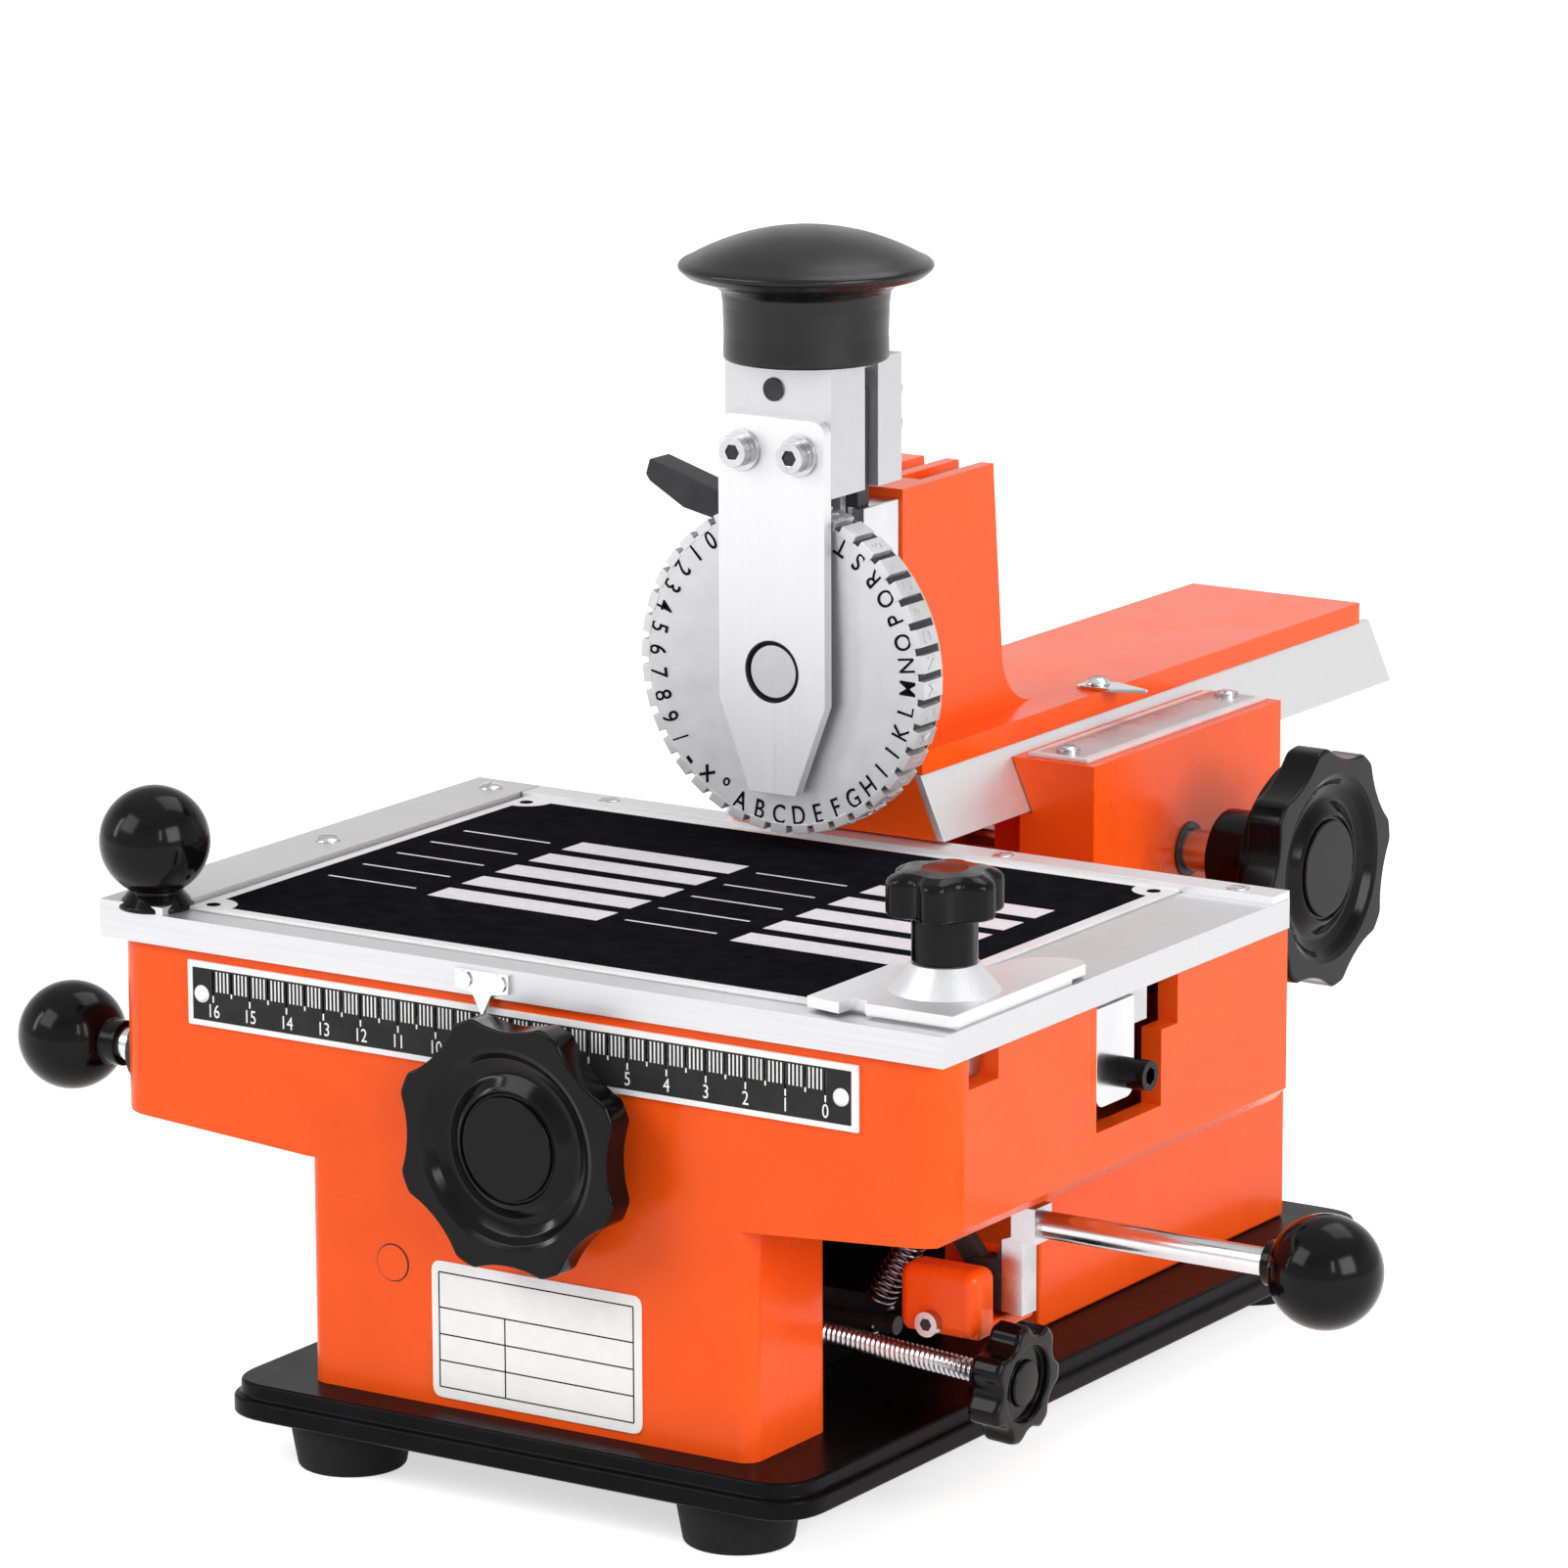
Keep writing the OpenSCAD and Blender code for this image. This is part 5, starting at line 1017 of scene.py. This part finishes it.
settle(melt("label_rules", *rules), black_ink, "frame", "scale_black")

# %% [markdown]
# The table and its clamp bar are bright alloy, brushed along their length. The ram, the wheel
# plate and the dovetails are ground steel, and the index lever and the guide bar are dark. All are
# copied from the frame with their sharp edges broken.

# %% Bright pieces
for node, body, slot, surface, width in (
        ("work_table", "table", "bright_metal", brushed_along, 1.2),
        ("left_clamp_bar", "table", "bright_metal", brushed_along, 0.4),
        ("corner_clamp", "table", "bright_metal", face_steel, 0.5),
        ("table_pointer", "table", "bright_metal", polished_steel, 0.15),
        ("stop_bracket", "table", "bracket_white", polished_steel, 0.3),
        ("ram_column", "ram", "bright_metal", ground_steel, 0.4),
        ("wheel_plate", "ram", "bright_metal", face_steel, 0.5),
        ("dovetail_strips", "head", "bright_metal", face_steel, 0.3),
        ("guide_block", "head", "bright_metal", polished_steel, 0.4),
        ("way_scale", "frame", "bright_metal", white_metal, 0.2),
        ("index_lever", "index_lever_body", "dark_steel", dark_steel, 1.6),
        ("ram_screws", "ram", "steel", screw_steel, 0.3),
        ("guide_bar", "head", "dark_steel", dark_steel, 0.3)):
    settle(casting(node, node + "_soft", width, 2), surface, body, slot, node)

# %% [markdown]
# The step lever has three looks along its length: a dark hub, a bare arm and a bright rod. The
# hub and its tail are dark as painted shade, for the shade under the wing where they sit. Its copy
# is cut across twice with Bisect, each cut is closed, and every length gets its own finish. The
# fence at the back of the table is a plain bar.

# %% Step lever and fence
HUB_END, ARM_END = 87.9, 97.9


def split_at(piece, name, x):
    """Cuts a piece in two across X, closes both halves, and gives the half on the left a new name."""
    take(piece)
    bpy.ops.object.duplicate(linked=False)
    left = bpy.context.object
    left.name = left.data.name = name
    for half, keep_left in ((piece, False), (left, True)):
        take(half)
        bpy.ops.object.mode_set(mode="EDIT")
        bpy.ops.mesh.select_all(action="SELECT")
        bpy.ops.mesh.bisect(plane_co=spot(x, 0, 0), plane_no=(1, 0, 0), use_fill=True,
                            clear_inner=not keep_left, clear_outer=keep_left)
        bpy.ops.object.mode_set(mode="OBJECT")
    return left


lever = casting("step_lever", "step_lever_soft", 0.4, 2)
lever_tail_in_shade = split_at(lever, "step_lever_tail", HUB_END)
lever_arm = split_at(lever, "step_lever_arm", ARM_END)
settle(lever, polished_steel, "step_lever_body", "bright_metal", "step_lever")
settle(lever_arm, screw_steel, "step_lever_body", "bright_metal")
# Painted shade: the hub and tail are dark because they lie in the shade under the wing.
settle(lever_tail_in_shade, dark_steel, "step_lever_body", "dark_steel")
settle(casting("rear_fence", "rear_fence_soft", 0.4), face_steel, "table", "fence_pale", "rear_fence")

# %% [markdown]
# Small things make a machine look real. The socket screws get painted shade in their sockets: a
# dark six-sided bar set a little below the rim of each head. One small round screw on the ram is
# dark all over: a dark cap in front of it is painted shade for the recess that it sits in.

# %% Sockets
SCREW_X, SCREW_Z, SCREW_FACE_Y = 7.6, 214.4, -4.9
COLUMN_SCREW, FORK_SCREW = (RAM_X - 1, 1.9, 228.3), (76.7, 44.9, -80.6)


def socket(x, z, face_y, width):
    """Painted shade at the bottom of a hexagon socket that opens to the front, a little below its rim."""
    bpy.ops.object.select_all(action="DESELECT")
    bpy.ops.mesh.primitive_cylinder_add(vertices=6, radius=width / 2 * MM, depth=1.0 * MM)
    piece = bpy.context.object
    put(piece, facing(spot(x, face_y + 0.5, z), (0, -1, 0)))
    return round_edges(piece, 0.08, 2)


sockets = [socket(RAM_X + x, SCREW_Z, SCREW_FACE_Y, 4.1) for x in (-SCREW_X, SCREW_X)]
cap = turn("painted_shade_cap", soften([(0, 0.5), (2.7, 0.5, 0.3), (2.7, 0), (0, 0)], 0.2), 40)
put(cap, facing(spot(*COLUMN_SCREW), (0, -1, 0)))
settle(melt("socket_painted_shades", *sockets, cap), dark_steel, "ram", "dark_steel")
settle(melt("bracket_socket", socket(*FORK_SCREW, 3.3)), dark_steel, "frame", "dark_steel")

# %% [markdown]
# The slotted screws have domed heads. One dome is turned, a Boolean cuts its slot, and each copy is
# turned a little further, as hand-driven screws are. The heads on the fence are low, because the
# head of the machine slides over them.

# %% Slotted screws
BAR_TOP, WAY_PLATE = 122.4, 136.5
BAR_X, FENCE_Y, SLOT_HALF = -106.8, 23.8, 0.3


def slotted(name, radius, rise, places):
    """Domed heads with a slot, each on its own place and turned its own way."""
    dome_outline = soften([(0, rise), (0.55 * radius, 0.86 * rise, radius), (0.92 * radius, 0.3 * rise, 0.3),
                           (radius, 0), (0, 0)], 0.3)
    head = turn(name, dome_outline, 40)
    groove = block("groove", ORIGIN_X - radius - 1, ORIGIN_X + radius + 1, ORIGIN_Y - SLOT_HALF,
                   ORIGIN_Y + SLOT_HALF, 0.45 * rise, rise + 1)
    combine(head, groove, "DIFFERENCE")
    heads = []
    for k, place in enumerate(places):
        copy = twin(head, (0, 0, 0))
        put(copy, Matrix.Translation(spot(*place)) @ Matrix.Rotation(0.6 + 1.3 * k, 4, "Z"))
        heads.append(copy)
    bpy.data.objects.remove(head)
    return melt(name, *heads)


bar_heads = slotted("bar_screw_heads", 3.1, 1.1, [(BAR_X, y, BAR_TOP) for y in (-45, 20)])
fence_heads = slotted("fence_screw_heads", 2.7, 0.5, [(x, FENCE_Y, BAR_TOP) for x in (-75.6, 32, 93.4)])
settle(melt("table_screw_heads", bar_heads, fence_heads), polished_steel, "table", "steel")
way_heads = slotted("way_screw_heads", 2.9, 1.6, [(22, y, WAY_PLATE + 0.1) for y in (70, 144)])
settle(way_heads, polished_steel, "frame", "steel")

# %% [markdown]
# The last details are the thin line round the plug, the blade that points along the beam's scale,
# held by one more slotted screw, and the worn field with fine marks on the slideway.

# %% Plug line, beam pointer and slideway scale
BEAM_TOP, BLADE_TOP = 143.3, 144.2
FIELD_X0, MARK_X0, MARK_Y = 16.0, 16.4, 77.0
PLUG_X, PLUG_Z = -38, 50
plug_line = turn("plug_line", soften([(3.95, 0.12), (4.3, 0.12), (4.3, 0), (3.95, 0)], 0.05), 48)
put(plug_line, facing(spot(PLUG_X, FRONT_Y, PLUG_Z), (0, -1, 0)))
settle(plug_line, dark_steel, "frame", "dark_steel")
blade_outline = soften([(3.0, 104.5, 1.5), (3.5, 111.5, 2), (10.5, 112.6, 2), (20.5, 108.9, 0.2),
                        (20.5, 108.3, 0.2), (12.0, 104.6, 3)], 1.0, closed=True)
blade = round_edges(saw("beam_pointer_soft", blade_outline, "z", BEAM_TOP, BLADE_TOP), 0.2, 2)
settle(blade, polished_steel, "head", "bright_metal", "beam_pointer")
beam_head = slotted("beam_screw_soft", 3.0, 1.9, [(7.0, 108.6, BLADE_TOP)])
settle(beam_head, polished_steel, "head", "steel", "beam_screw")

way_field = block("way_field", FIELD_X0, 28.0, 66.8, 147.2, WAY_PLATE, WAY_PLATE + 0.05)
settle(way_field, worn_field, "frame", "bright_metal")
way_marks = []
for step, count, long in ((2, 31, 1.6), (10, 7, 3.0)):
    mark = block("way_mark", MARK_X0, MARK_X0 + long, MARK_Y - 0.1, MARK_Y + 0.1,
                 WAY_PLATE + 0.04, WAY_PLATE + 0.07)
    way_marks.append(repeat(mark, count, (0, step, 0)))
settle(melt("way_marks", *way_marks), dark_steel, "frame", "dark_steel")

# %% [markdown]
# What is left shows little of itself: screws, pins, shafts, racks and bushes. These keep their
# solids and only get a finish.

# %% Small parts
for node, surface in (
        ("foot_screws", screw_steel), ("pedestal_plug", orange_enamel), ("slide_guides", screw_steel),
        ("frame_screws", screw_steel), ("bushes", dark_steel), ("lever_pins", dark_steel),
        ("table_slides", screw_steel), ("table_rack", screw_steel), ("stop_screw", knob_plastic),
        ("pointer_rivets", polished_steel), ("table_screws", polished_steel), ("clamp_stud", screw_steel),
        ("front_shaft", screw_steel), ("head_rack", screw_steel), ("side_shaft", polished_steel),
        ("wheel_axle", ground_steel), ("index_pin", screw_steel), ("release_rod", polished_steel)):
    for material_slot in cad_nodes[node].material_slots:
        material_slot.material = surface
print("all nodes have a finish")
